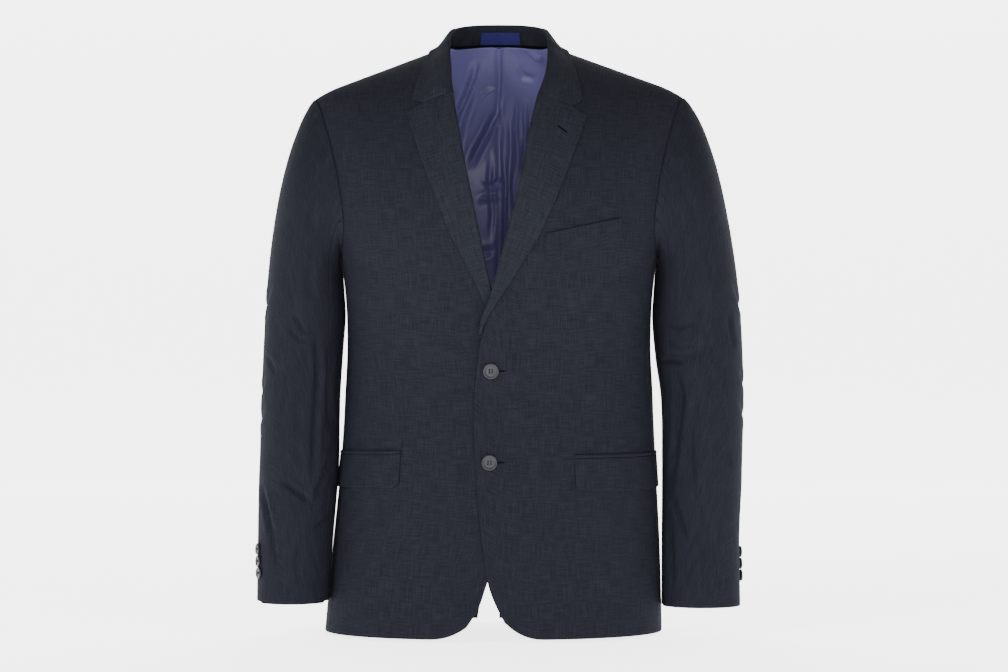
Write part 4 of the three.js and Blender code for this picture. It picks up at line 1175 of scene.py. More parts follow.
@dataclass
class BodyPanels:
    """The two fronts, two side panels and two backs."""

    cloth: bpy.types.Material
    lining: bpy.types.Material
    front_size: tuple = (300, 745)
    side_size: tuple = (130, 500)
    back_size: tuple = (260, 750)
    seam_turn: float = SEWN / 2 / 120 / math.radians(1)

    @staticmethod
    def hem(outer: np.ndarray) -> np.ndarray:
        """Which points lie in the hem that is turned up inside."""
        return outer[..., 2] < HEM + HEM_DEEP

    @staticmethod
    def side_edge(angle: float, joint: tuple) -> Callable:
        """A side seam below the armhole, as angles and heights by its share up.

        Args:
            angle: Degrees round the body from the front.
            joint: Angle and height where the seam meets the armhole.

        Returns:
            The edge as a function of its share.
        """
        def edge(t: np.ndarray) -> tuple:
            """Places at shares up the seam."""
            return mix(angle, joint[0], smooth(t, 0.8, 1)), mix(HEM, joint[1], t)
        return edge

    def shoulder(self, side: Side, u: np.ndarray, is_front: bool) -> tuple:
        """Places along the shoulder seam from the neck.

        Args:
            side: The wearer's side.
            u: Share along from the neck.
            is_front: Whether the front half is meant.

        Returns:
            Angles and heights.
        """
        x = side.value * mix(NECK_HALF, SHOULDER_HALF, u)
        z = ridge(x)
        angle = Body.front_angle(x, z) if is_front else Body.back_angle(side.value, x, z)
        return angle, z

    def front(self, side: Side) -> bpy.types.Object:
        """One front, from its free edge and roll line round to the side seam.

        Args:
            side: The wearer's side.

        Returns:
            The new piece.
        """
        sign, (corner_x, corner_z, flat) = side.value, FRONT_CORNER[side]
        seam = sign * (SIDE_SEAM[0] - self.seam_turn)
        hole = ARMHOLES[side]
        joint = [float(value) for value in hole.place(JOIN)]
        neck_z = float(ridge(NECK_HALF))

        def left(v: np.ndarray) -> tuple:
            """The edge at the middle, from the hem up."""
            z = two_spans(v, corner_z, joint[1], neck_z)
            return Body.front_angle(front_inner_x(side, z), z), z

        def right(v: np.ndarray) -> tuple:
            """The edge at the side, from the hem up.

            Args:
                v: Share from the bottom up.

            Returns:
                Angles and heights.
            """
            above = hole.place(np.clip(mix(JOIN, 0, (v - SIDE_SHARE) / (1 - SIDE_SHARE)), 0, JOIN))
            below = self.side_edge(seam, joint)(np.minimum(v / SIDE_SHARE, 1))
            return tuple(np.where(v > SIDE_SHARE, above[k], below[k]) for k in (0, 1))

        def bottom(u: np.ndarray) -> tuple:
            """The lower edge, from the middle out.

            Args:
                u: Share across from the middle out.

            Returns:
                Angles and heights.
            """
            angle = mix(left(np.zeros(1))[0][0], seam, u)
            x = Body.point(angle, HEM)[..., 0]
            share = np.clip((flat - x) / (flat - corner_x), 0, 1)
            return angle, HEM + (corner_z - HEM) * share ** 2.4

        edges = dict(left=left, right=right, bottom=bottom, top=lambda u: self.shoulder(side, u, True))
        outer, inner = body_shell(edges, *self.front_size,
                                  lift=lambda x, z: front_lift(side, x, z))
        start = Body.front_angle(outer[:, 0, 0], outer[:, 0, 2]) * math.radians(1) * 200
        uv = grain(outer, start) if side is Side.LEFT else grain(outer, np.abs(start))
        facing = (grain(outer, np.zeros(len(outer)))[..., 0] < FACING_WIDE * MM) | self.hem(outer)
        obj = Shell(f"front-{side.word}", outer, inner, self.cloth, self.lining, uv, facing).build()
        return settle(obj, (f"front_{side.word}",), outer)

    def side_panel(self, side: Side) -> bpy.types.Object:
        """The panel under one arm.

        Args:
            side: The wearer's side.

        Returns:
            The new piece.
        """
        sign, hole = side.value, ARMHOLES[side]
        turn = sign * self.seam_turn
        start = [float(value) for value in hole.place(JOIN)]
        end = [float(value) for value in hole.place(-JOIN)]
        before, behind = sign * SIDE_SEAM[0] + turn, sign * SIDE_SEAM[1] - turn

        def top(u: np.ndarray) -> tuple:
            """The upper edge, from the middle out.

            Args:
                u: Share across from the middle out.

            Returns:
                Angles and heights.
            """
            turns = mix(JOIN, 360 - JOIN, u)
            angle, z = hole.place(np.where(turns > 180, turns - 360, turns))
            return angle + turn * (1 - 2 * u), z

        edges = dict(
            left=self.side_edge(before, (start[0] + turn, start[1])),
            right=self.side_edge(behind, (end[0] - turn, end[1])),
            bottom=lambda u: (mix(before, behind, u), np.full(len(u), HEM)), top=top)
        outer, inner = body_shell(edges, *self.side_size)
        obj = Shell(f"side-panel-{side.word}", outer, inner, self.cloth, self.lining,
                    turned=self.hem(outer)).build()
        return settle(obj, (f"side_panel_{side.word}",), outer)

    def back(self, side: Side) -> bpy.types.Object:
        """One back, from the centre seam and vent round to the side seam.

        Args:
            side: The wearer's side.

        Returns:
            The new piece.
        """
        sign, hole = side.value, ARMHOLES[side]
        seam = sign * (SIDE_SEAM[1] + self.seam_turn)
        joint = [float(value) for value in hole.place(-JOIN)]
        neck_z = float(neck_height(0))
        neck_share = 0.3

        def left(v: np.ndarray) -> tuple:
            """The edge at the middle, from the hem up.

            Args:
                v: Share from the bottom up.

            Returns:
                Angles and heights.
            """
            z = two_spans(v, HEM, joint[1], neck_z)
            swing = VENT_OPEN * np.maximum(0, (VENT_TOP - z) / (VENT_TOP - HEM)) ** VENT_POWER
            x = sign * (SEAM / 2 + swing * (side is Side.RIGHT))
            return Body.back_angle(sign, x, z), z

        def right(v: np.ndarray) -> tuple:
            """The edge at the side, from the hem up.

            Args:
                v: Share from the bottom up.

            Returns:
                Angles and heights.
            """
            turns = np.clip(mix(JOIN, 0, (v - SIDE_SHARE) / (1 - SIDE_SHARE)), 0.001, JOIN)
            above = hole.place(-turns)
            below = self.side_edge(seam, joint)(np.minimum(v / SIDE_SHARE, 1))
            return tuple(np.where(v > SIDE_SHARE, above[k], below[k]) for k in (0, 1))

        def top(u: np.ndarray) -> tuple:
            """The upper edge, from the middle out.

            Args:
                u: Share across from the middle out.

            Returns:
                Angles and heights.
            """
            x = sign * mix(SEAM / 2, NECK_HALF, np.minimum(u / neck_share, 1))
            neck = Body.back_angle(sign, x, neck_height(x)), neck_height(x)
            shoulder = self.shoulder(side, np.maximum((u - neck_share) / (1 - neck_share), 0), False)
            return tuple(np.where(u >= neck_share, shoulder[k], neck[k]) for k in (0, 1))

        edges = dict(left=left, right=right, top=top,
                     bottom=lambda u: (mix(left(np.zeros(1))[0][0], seam, u), np.full(len(u), HEM)))
        outer, inner = body_shell(edges, *self.back_size)
        vent = (np.abs(outer[..., 0]) < VENT_FACING) & (outer[..., 2] < LINING_BOTTOM)
        obj = Shell(f"back-{side.word}", outer, inner, self.cloth, self.lining,
                    turned=vent | self.hem(outer)).build()
        return settle(obj, (f"back_{side.word}",), outer)

    def build(self) -> list:
        """All six panels."""
        makers = (self.front, self.side_panel, self.back)
        return [maker(side) for side in Side for maker in makers]


# Where the two parts of a sleeve meet in the armhole, in degrees round it
TOP_FROM, TOP_TO = -81.78, 121.26


@dataclass
class SleevePair:
    """The top and under sleeves of both arms."""

    cloth: bpy.types.Material
    lining: bpy.types.Material
    top_size: tuple = (170.0, 650.0)
    under_size: tuple = (130.0, 560.0)

    def part(self, side: Side, is_top: bool) -> bpy.types.Object:
        """One part of a sleeve, between its two seams.

        Args:
            side: The wearer's side.
            is_top: Whether it is the top sleeve.

        Returns:
            The new piece.
        """
        form = SLEEVES[side]
        width, length = self.top_size if is_top else self.under_size
        us, vs = spaced(width, SLEEVE_GRID), spaced(length, SLEEVE_GRID)
        step = (vs ** 0.93 * 10)[:, None]
        share = us[None, :]
        front, back = form.seams["front"](step), form.seams["back"](step)
        starts = mix(TOP_FROM, TOP_TO, share) if is_top else mix(TOP_TO, 360 + TOP_FROM, share)
        ends = mix(back, front, share) if is_top else mix(front, back + 360, share)
        gap = (SEWN / 2 / 55) / math.radians(1) * (1 - 2 * share)
        turn = mix(starts, ends, smooth(step, 0, 3)) + gap
        turn = np.where(turn > 180, turn - 360, turn)
        drop = rolled(len(vs), len(us))
        step = np.broadcast_to(step, turn.shape)
        outer = form.on(step, turn, -drop)
        inner = form.on(step, turn, -CLOTH + drop * 0.4)
        word = "top" if is_top else "under"
        cuff = outer[..., 2] < outer[-1, :, 2].max() + HEM_DEEP
        obj = Shell(f"{word}-sleeve-{side.word}", outer, inner, self.cloth, self.lining, turned=cuff).build()
        return settle(obj, (f"{word}_sleeve_{side.word}",), outer)

    def build(self) -> list:
        """All four parts."""
        return [self.part(side, is_top) for side in Side for is_top in (True, False)]


@dataclass
class Neck:
    """The lapels, the collar and the label."""

    cloth: bpy.types.Material
    ribbon: bpy.types.Material
    notch_share: float = 0.66
    lapel_size: tuple = (80, 285)
    collar_size: tuple = (150, 95)
    label_size: tuple = (52, 16)

    def lapel(self, side: Side) -> bpy.types.Object:
        """One lapel: it turns over at the roll line and lies on the front.

        Args:
            side: The wearer's side.

        Returns:
            The new piece.
        """
        gorge_z, notch, _ = NOTCH[side]
        start = LAPEL_START[side]
        gorge_x = float(ROLL_X[side](gorge_z - 0.4))
        tip = (LAPEL_EDGE[side]["x"][-1], LAPEL_EDGE[side]["z"][-1])

        def left(v: np.ndarray) -> tuple:
            """The edge at the middle, from the hem up."""
            z = mix(start, gorge_z - SEAM, v)
            return Body.front_angle(ROLL_X[side](z), z), z

        def right(v: np.ndarray) -> tuple:
            """The edge at the side, from the hem up."""
            z = mix(start, tip[1], v)
            return Body.front_angle(LAPEL_X[side](z), z), z

        def bottom(u: np.ndarray) -> tuple:
            """The lower edge, from the middle out."""
            x = mix(ROLL_X[side](start), LAPEL_X[side](start), u)
            return Body.front_angle(x, start), np.full(len(u), start)

        def top(u: np.ndarray) -> tuple:
            """The upper edge, from the middle out.

            Args:
                u: Share across from the middle out.

            Returns:
                Angles and heights.
            """
            first = np.minimum(u / self.notch_share, 1)
            second = np.maximum((u - self.notch_share) / (1 - self.notch_share), 0)
            x = mix(mix(gorge_x, notch[0], first), tip[0], second)
            z = mix(mix(gorge_z, notch[1], first), tip[1], second) - SEAM * (1 - second)
            return Body.front_angle(x, z), z

        us = spaced(self.lapel_size[0], GRID * 0.8)
        us = us[us > 0.02]
        us = np.concatenate([[0.0], us])
        vs = spaced(self.lapel_size[1], GRID * 0.8)
        angle, z = filled(dict(left=left, right=right, bottom=bottom, top=top), us, vs)
        edge = rolled(len(vs), len(us))
        edge[:, :3] = edge[:, [4]]
        lift = front_lift(side, Body.point(angle, z)[..., 0], z)
        puff = (ROLL_PUFF * smooth(z[:, :1], -330, -230)) * (1 - us[None, :]) ** 2
        grids = []
        for depth, share in ((0.0, 1.0), (CLOTH, -0.5)):
            laid = Body.on(angle, z, lift + LAY + CLOTH + puff - depth - edge * share)
            grids.append(np.concatenate([self.turned(side, angle[:, 0], z[:, 0], depth), laid], axis=1))
        obj = Shell(f"lapel-{side.word}", *grids, self.cloth).build()
        return settle(obj, (f"lapel_{side.word}",), grids[0])

    def turned(self, side: Side, angle: np.ndarray, z: np.ndarray, depth: float) -> np.ndarray:
        """The part of a lapel that turns over at the roll line, from its foot on the front's edge.

        Args:
            side: The wearer's side.
            angle: Degrees round the body from the front.
            z: Up, in millimetres.
            depth: How far the row reaches from the roll line.

        Returns:
            Rows of points in millimetres.
        """
        sign = side.value
        line = Body.on(angle, z, 0)
        normal = Body.normal(angle, z)
        base = front_lift(side, Body.point(angle, z)[..., 0], z)
        high = base + LAY + CLOTH + ROLL_PUFF * smooth(z, -330, -230)
        low = base - CLOTH
        middle, radius = ((high + low) / 2)[:, None], ((high - low) / 2 - depth)[:, None]
        opening = unit(np.array([-sign, 0.0, 0.0]) + normal * (sign * normal[:, :1]))
        inset = 0.7 * ROLL_INSET * smooth(z, BREAK, BREAK + 30)[:, None]
        columns = [line - opening * inset + normal * (low + depth)[:, None]]
        for turn in np.radians(np.linspace(-75, 75, 9)):
            out = normal * (middle + radius * math.sin(turn))
            columns.append(line + out + opening * radius * math.cos(turn))
        return np.stack(columns, axis=1)

    def collar(self) -> bpy.types.Object:
        """The collar in one folded piece, from its right front end round to the left.

        Returns:
            The new piece.
        """
        right, left = CollarForm(Side.RIGHT), CollarForm(Side.LEFT)
        at = spaced(self.collar_size[0], GRID * 0.7) * 6
        at = at[at < 5.97]
        at = np.append(at, 6.0)
        across = spaced(self.collar_size[1], GRID * 0.6)
        outer = np.concatenate([right.points(at, across), left.points(at[:-1][::-1], across)])
        run = np.gradient(outer, axis=0)
        rise = np.gradient(outer, axis=1)
        normal = unit(np.cross(run, rise))
        drop = rolled(*outer.shape[:2])[..., None]
        inner = outer - normal * (CLOTH - drop * 0.4)
        outer = outer - normal * drop
        obj = Shell("collar-cloth", outer, inner, self.cloth).build()
        return settle(obj, ("collar",), outer)

    def label_grid(self, lift: float, us: np.ndarray, vs: np.ndarray) -> np.ndarray:
        """Points over the collar's stand at a lift into the neck.

        Args:
            lift: Millimetres out of the surface.
            us: Shares along the label.
            vs: Shares up the label.

        Returns:
            Rows of points in millimetres.
        """
        x = mix(-24.0, 28.0, us)
        rows = []
        across = mix(0.03, 0.5, vs) * FOLD_AT
        for value in x:
            form = CollarForm(Side.RIGHT if value < 0 else Side.LEFT)
            at = np.array([6 - abs(value) / COLLAR["footX"][5]])
            points = form.points(at, across)[0]
            ahead = form.points(at, across + 0.02)[0] - points
            normal = unit(np.cross(ahead, np.array([1.0, 0.0, 0.0])))
            rows.append(points - normal * np.sign(normal[:, 1:2]) * lift)
        return np.stack(rows, axis=1)

    def label(self) -> bpy.types.Object:
        """The plain woven label.

        Returns:
            The new piece.
        """
        us, vs = spaced(self.label_size[0], 2.5), spaced(self.label_size[1], 2.0)
        drop = rolled(len(vs), len(us))[..., None] * 0.5
        low, high = self.label_grid(0.8, us, vs), self.label_grid(1.6, us, vs)
        outer = mix(high, low, drop)
        obj = Shell("label-ribbon", outer, low, self.ribbon).build()
        return settle(obj, ("label",), outer)

    def build(self) -> list:
        """Both lapels, the collar and the label."""
        return [self.lapel(side) for side in Side] + [self.collar(), self.label()]


@dataclass
class Pockets:
    """Two flaps with their jettings, and the chest welt."""

    cloth: bpy.types.Material
    corner: float = 9.0
    flap_wide: float = 165

    def laid(self, name: str, node: str, angle: np.ndarray, z: np.ndarray, lift: np.ndarray,
             thick: float, on: str = "") -> bpy.types.Object:
        """A piece that lies on a front: its own sheet, or an edging of the front where on is empty.

        Args:
            name: The piece's name.
            node: The solid that it takes the place of.
            angle: Degrees round the body from the front.
            z: Up, in millimetres.
            lift: Millimetres out of the surface.
            thick: Thickness in millimetres.
            on: What it is sewn on, or nothing.

        Returns:
            The new piece.
        """
        drop = rolled(*angle.shape) * thick / CLOTH
        outer = Body.on(angle, z, lift - drop)
        inner = Body.on(angle, z, lift - thick + drop * 0.3)
        obj = Shell(name, outer, inner, self.cloth).build()
        return settle(obj, (node,), outer if on else None)

    def flap(self, side: Side) -> bpy.types.Object:
        """A flap with a straight top and rounded lower corners.

        Args:
            side: The wearer's side.

        Returns:
            The new piece.
        """
        x, top, side_top, jet, deep, end = FLAP[side]
        us, vs = spaced(self.flap_wide, GRID * 0.6), spaced(deep, GRID * 0.6)
        u, v = us[None, :], vs[:, None]
        angle = np.broadcast_to(mix(float(Body.front_angle(x, top)), end, u), (len(vs), len(us)))
        away = np.minimum(u, 1 - u) * self.flap_wide
        inside = np.maximum(0, self.corner - away)
        rise = self.corner - np.sqrt(np.maximum(0, self.corner ** 2 - inside ** 2))
        z = mix(top, side_top, u) - jet - LAY - v * (deep - rise)
        lift = np.broadcast_to(LAY + FLAP_CLOTH + 0.6 * v, angle.shape)
        return self.laid(f"flap-{side.word}", f"flap_{side.word}", angle, z, lift, FLAP_CLOTH,
                         f"front-{side.word}")

    def jetting(self, side: Side) -> bpy.types.Object:
        """The narrow bound strip above a flap.

        Args:
            side: The wearer's side.

        Returns:
            The new piece.
        """
        x, top, side_top, jet, _, end = FLAP[side]
        us, vs = spaced(self.flap_wide, GRID), spaced(jet, 1.5)
        u, v = us[None, :], vs[:, None]
        angle = np.broadcast_to(mix(float(Body.front_angle(x, top)), end, u), (len(vs), len(us)))
        z = mix(top, side_top, u) - v * jet
        round_top = 0.7 * (1 - (2 * v - 1) ** 2)
        lift = np.broadcast_to(LAY + JET_CLOTH + round_top, angle.shape)
        return self.laid(f"jetting-{side.word}", f"jetting_{side.word}", angle, z, lift, JET_CLOTH)

    def welt(self) -> bpy.types.Object:
        """The slanted chest welt.

        Returns:
            The new piece.
        """
        us, vs = spaced(WELT_WIDE, GRID * 0.6), spaced(WELT_DEEP, GRID * 0.6)
        u, v = us[None, :], vs[:, None]
        x = np.broadcast_to(WELT_X + u * WELT_WIDE, (len(vs), len(us)))
        z = WELT_Z + u * WELT_RISE - v * WELT_DEEP
        lift = np.full(x.shape, LAY + WELT_CLOTH)
        return self.laid("chest-welt", "chest_welt", Body.front_angle(x, z), z, lift, WELT_CLOTH,
                         "front-left")

    def build(self) -> list:
        """All five pieces."""
        made = [maker(side) for side in Side for maker in (self.flap, self.jetting)]
        return made + [self.welt()]


# The back lining's sizes, and its pleat down the middle
LINING_BELOW, LINING_BOTTOM, LINING_GAP, LINING_SLACK = -4.6, -500.0, 4.0, 2.0
LINING_TOP_HALF, LINING_LOW_HALF = 150.0, 160.0
PLEAT_DEEP, PLEAT_HALF = 3.5, 5.0

# The lining's folds as they show through the V: troughs are deep and narrow, ridges are soft
LINING_CREASES = (
    *seen_from(
        Seen.FRONT,
        (((3.8, 9.8), (5.1, -32.4), (1.2, -64.1), (5.1, -97.1)), 1.7, 3.0),
        (((5.1, -90), (5.1, -131.4), (9.1, -163.1), (7.8, -194.8), (6.5, -246.2)), 1.8, 3.4),
        (((1.5, -60), (-14, -92), (-26.6, -115.6), (-41.1, -145.9)), 4.5, -9.2),
        (((-33, -40), (-49, -77), (-58, -118), (-55, -150)), 4.5, 4.2),
        (((-25.2, -50.9), (-14.7, -43), (-4, -41)), 2.0, -3.9),
        (((-27.9, -4.7), (-45, -50.9), (-56.9, -77.3)), 3.4, -6.1),
        (((-24, -166), (-10, -168.4), (3, -158)), 2.5, -4.3),
        (((-30, -190), (-15, -183), (2, -186)), 3.4, 2.4),
        (((34.2, 9.8), (51.3, -4.7), (63.2, 4.6)), 2.8, -5.4),
        (((22, -12), (33, -26), (52, -30)), 3.4, 3.1),
        (((24.9, -45), (22.5, -90), (25.5, -130), (23, -162)), 2.5, 3.9),
        (((34.5, -50), (36, -95), (33, -140), (34, -166)), 2.2, -5.5),
        (((14, -70), (15.5, -120), (13, -170), (15, -215)), 2.8, -4.3),
        (((-10, -120), (-13, -160), (-9, -205), (-12, -250)), 3.4, -3.6),
        (((-62, -240), (-30, -262), (-4, -252)), 4.5, -4.3),
        (((58, -120), (64, -190), (55, -260)), 5.0, -4.9),
        (((-80, -90), (-88, -170), (-78, -250)), 5.6, -4.9),
        (((30, -250), (60, -285), (100, -290)), 5.0, 3.6),
        (((-100, -300), (-40, -330), (20, -322)), 6.2, -4.3),
        (((20, -350), (28, -420), (24, -490)), 4.5, -4.2),
    ),
)


@dataclass
class BackLining:
    """The lining of the back, which shows through the V."""

    satin: bpy.types.Material
    size: tuple = (310, 500)

    def build(self) -> bpy.types.Object:
        """The lining, with its pleat and folds.

        Returns:
            The new piece.
        """
        us = spaced(self.size[0], GRID * 0.6) * 2 - 1
        vs = spaced(self.size[1], GRID * 0.6)
        u, v = us[None, :], vs[:, None]
        x = u * mix(LINING_LOW_HALF, LINING_TOP_HALF, v)
        top_x = np.broadcast_to(u * LINING_TOP_HALF, x.shape)
        top = np.minimum(neck_height(top_x), ridge(top_x)) - LINING_BELOW
        z = mix(LINING_BOTTOM, top, v)
        pleat = PLEAT_DEEP * np.exp(-(x / PLEAT_HALF) ** 2) * smooth(v, 0.3, 0.5)
        lift = -CLOTH - LINING_GAP - pleat - LINING_SLACK * smooth(v, 0.7, 0.97)
        angle = Body.back_angle(1, x, z)
        normal = Body.normal(angle, z)
        base = Body.point(angle, z) + normal * lift[..., None]
        edge = (smooth(v, 0, 0.06) * (1 - 0.7 * smooth(v, 0.98, 1)))[..., None]
        base = base + normal * creased(base, -normal, LINING_CREASES) * edge
        drop = rolled(len(vs), len(us))[..., None] * 0.4
        seen, hidden = base - normal * (LINING - drop), base - normal * drop
        obj = Shell("back-lining-satin", seen, hidden, self.satin).build()
        return settle(obj, ("back_lining",), base)


@dataclass(frozen=True)
class ButtonSize:
    """A button's radius, thickness, rim, dish, holes and their distance from the middle, in millimetres."""

    radius: float
    thick: float
    rim: float
    dish: float
    hole: float
    spread: float
    thread: float


FRONT_SIZE = ButtonSize(9.7, 3.4, 1.9, 1.3, 1.0, 2.6, 1.05)
CUFF_SIZE = ButtonSize(7.4, 2.8, 1.5, 1.0, 0.8, 1.75, 0.8)


@dataclass
class Buttons:
    """The front and cuff buttons with their thread."""

    horn: bpy.types.Material
    thread: bpy.types.Material
    sides: int = 64

    def blank(self, size: ButtonSize) -> bpy.types.Mesh:
        """One button that faces +Z, with four holes through it, in metres.

        Args:
            size: The button's size.

        Returns:
            The mesh.
        """
        r, t = size.radius, size.thick
        inner = r - size.rim
        profile = [(0.02, 0), (r - 1.4, 0), (r - 0.5, 0.25), (r, 1.0), (r, t - 0.9), (r - 0.28, t - 0.28),
                   (r - 0.9, t), (inner + 0.3, t - 0.12), (inner - 0.3, t - 0.45),
                   (inner - 0.9, t - size.dish), (0.02, t - size.dish - 0.15)]
        sides = self.sides
        turn = np.linspace(0, 2 * np.pi, sides, endpoint=False)
        ring = np.array([[x * np.cos(turn), x * np.sin(turn), np.full(sides, y)] for x, y in profile])
        points = ring.transpose(0, 2, 1).reshape(-1, 3)
        rows = np.arange(len(profile) * sides).reshape(len(profile), sides)
        ahead = np.roll(rows, -1, axis=1)
        faces = np.stack([rows[:-1], ahead[:-1], ahead[1:], rows[1:]], axis=-1).reshape(-1, 4).tolist()
        faces += [rows[0][::-1].tolist(), rows[-1].tolist()]
        mesh = bpy.data.meshes.new("button blank")
        mesh.from_pydata(points.tolist(), [], faces)
        body = bpy.data.objects.new("button blank", mesh)
        bpy.context.scene.collection.objects.link(body)
        cutters = []
        for turn in (45, 135, 225, 315):
            bend = math.radians(turn)
            place = (size.spread * math.cos(bend), size.spread * math.sin(bend), t / 2)
            bpy.ops.mesh.primitive_cylinder_add(vertices=24, radius=size.hole, depth=t * 3, location=place)
            cutters.append(bpy.context.object)
            cut = body.modifiers.new("hole", "BOOLEAN")
            cut.operation, cut.object, cut.solver = "DIFFERENCE", cutters[-1], "EXACT"
        bpy.context.view_layer.update()
        made = bpy.data.meshes.new_from_object(body.evaluated_get(bpy.context.evaluated_depsgraph_get()))
        for obj in (body, *cutters):
            bpy.data.objects.remove(obj)
        made.transform(Matrix.Scale(MM, 4))
        made.shade_smooth()
        made.set_sharp_from_angle(angle=math.radians(42))
        return made

    def stitches(self, size: ButtonSize) -> np.ndarray:
        """Middles of the two threads that run across the holes, in millimetres.

        Args:
            size: The button's size.

        Returns:
            Two points.
        """
        side = size.spread * math.sin(math.pi / 4)
        top = size.thick - size.dish + 0.1
        return np.array([[-side, 0, top], [side, 0, top]])

    def place(self, name: str, node: str, blank: bpy.types.Mesh, size: ButtonSize, point: np.ndarray,
              normal: np.ndarray) -> list:
        """One button on the cloth, and its thread.

        Args:
            name: The piece's name.
            node: The solid that it takes the place of.
            blank: The button's mesh.
            size: The button's size.
            point: Where its foot is.
            normal: The way that it faces.

        Returns:
            The button and its thread.
        """
        turn = Vector(normal).to_track_quat("Z", "Y").to_matrix().to_4x4()
        turn.translation = Vector(point) * MM
        mesh = blank.copy()
        mesh.transform(turn)
        obj = bpy.data.objects.new(name, mesh)
        obj.data.materials.append(self.horn)
        bpy.context.scene.collection.objects.link(obj)
        settle(obj, (node,))
        basis = np.array(turn.to_3x3())
        middles = self.stitches(size) @ basis.T + point
        long = 2 * size.spread * math.sin(math.pi / 4) + size.hole
        up, out = np.tile(basis[:, 1], (2, 1)), np.tile(basis[:, 2], (2, 1))
        thread = Stitching(f"{name}-thread", middles, up, out, long, size.thread, self.thread).build()
        shank = Stitching(f"{name}-shank", point[None], basis[:, [2]].T, basis[:, [0]].T,
                          2.4, 2.6, self.thread).build()
        return [obj, thread, shank]

    def build(self) -> list:
        """All the buttons.

        Returns:
            Every button and thread.
        """
        made = []
        blank = self.blank(FRONT_SIZE)
        for i, (x, z) in enumerate(FRONT_BUTTONS, 1):
            angle = Body.front_angle(x, z)
            point = Body.on(angle, z, front_lift(Side.LEFT, x, z) + BUTTON_LIFT)
            made += self.place(f"front-button-{i}", f"front_button_{i}", blank, FRONT_SIZE, point,
                               Body.normal(angle, z))
        blank = self.blank(CUFF_SIZE)
        for side in Side:
            form = SLEEVES[side]
            length = float(form.table["outZ"](9) - form.table["outZ"](10))
            for i in range(CUFF_COUNT):
                step = 10 - (CUFF_LOWEST + i * CUFF_APART) / length
                turn = float(form.seams["back"](step)) + math.degrees(CUFF_FROM_SEAM / 47)
                node = f"cuff_button_{side.word}_{i + 1}"
                made += self.place(node.replace("_", "-"), node, blank, CUFF_SIZE,
                                   form.on(step, turn, BUTTON_LIFT), form.normal(step, turn))
        return made


class StitchGroup:
    """Geometry nodes that lay one rounded stitch at each point, by its "along" and "facing"."""

    inputs = (("Length", "NodeSocketFloat"), ("Thickness", "NodeSocketFloat"),
              ("Unevenness", "NodeSocketFloat"), ("Seed", "NodeSocketInt"), ("Thread", "NodeSocketMaterial"))
    tree = None

    @classmethod
    def get(cls) -> bpy.types.NodeTree:
        """The node group, built once.

        Returns:
            The node group.
        """
        if cls.tree is None:
            cls.tree = cls.build()
        return cls.tree

    @classmethod
    def build(cls) -> bpy.types.NodeTree:
        """Builds the node group.

        Returns:
            The node group.
        """
        tree = bpy.data.node_groups.new("stitches", "GeometryNodeTree")
        tree.interface.new_socket("Points", in_out="INPUT", socket_type="NodeSocketGeometry")
        for name, kind in cls.inputs:
            tree.interface.new_socket(name, in_out="INPUT", socket_type=kind)
        tree.interface.new_socket("Stitches", in_out="OUTPUT", socket_type="NodeSocketGeometry")
        link = tree.links.new
        add = tree.nodes.new
        given = add("NodeGroupInput")
        ball = add("GeometryNodeMeshUVSphere")
        ball.inputs["Segments"].default_value = 8
        ball.inputs["Rings"].default_value = 6
        ball.inputs["Radius"].default_value = 0.5
        size = add("ShaderNodeCombineXYZ")
        link(given.outputs["Length"], size.inputs["X"])
        link(given.outputs["Thickness"], size.inputs["Y"])
        link(given.outputs["Thickness"], size.inputs["Z"])
        bean = add("GeometryNodeTransform")
        link(ball.outputs["Mesh"], bean.inputs["Geometry"])
        link(size.outputs[0], bean.inputs["Scale"])
        turned = None
        for name, axis in (("along", "X"), ("facing", "Z")):
            read = add("GeometryNodeInputNamedAttribute")
            read.data_type = "FLOAT_VECTOR"
            read.inputs["Name"].default_value = name
            align = add("FunctionNodeAlignRotationToVector")
            align.axis = axis
            align.pivot_axis = "AUTO" if axis == "X" else "X"
            link(read.outputs["Attribute"], align.inputs["Vector"])
            if turned is not None:
                link(turned, align.inputs["Rotation"])
            turned = align.outputs["Rotation"]
        low = add("ShaderNodeMath")
        low.operation = "SUBTRACT"
        low.inputs[0].default_value = 1.0
        link(given.outputs["Unevenness"], low.inputs[1])
        scale = add("FunctionNodeRandomValue")
        scale.data_type = "FLOAT"
        link(low.outputs[0], scale.inputs[2])
        scale.inputs[3].default_value = 1.0
        link(given.outputs["Seed"], scale.inputs["Seed"])
        lay = add("GeometryNodeInstanceOnPoints")
        link(given.outputs["Points"], lay.inputs["Points"])
        link(bean.outputs["Geometry"], lay.inputs["Instance"])
        link(turned, lay.inputs["Rotation"])
        link(scale.outputs[1], lay.inputs["Scale"])
        real = add("GeometryNodeRealizeInstances")
        link(lay.outputs["Instances"], real.inputs["Geometry"])
        soft = add("GeometryNodeSetShadeSmooth")
        link(real.outputs["Geometry"], soft.inputs["Geometry"])
        dyed = add("GeometryNodeSetMaterial")
        link(soft.outputs["Geometry"], dyed.inputs["Geometry"])
        link(given.outputs["Thread"], dyed.inputs["Material"])
        out = add("NodeGroupOutput")
        link(dyed.outputs["Geometry"], out.inputs[0])
        return tree


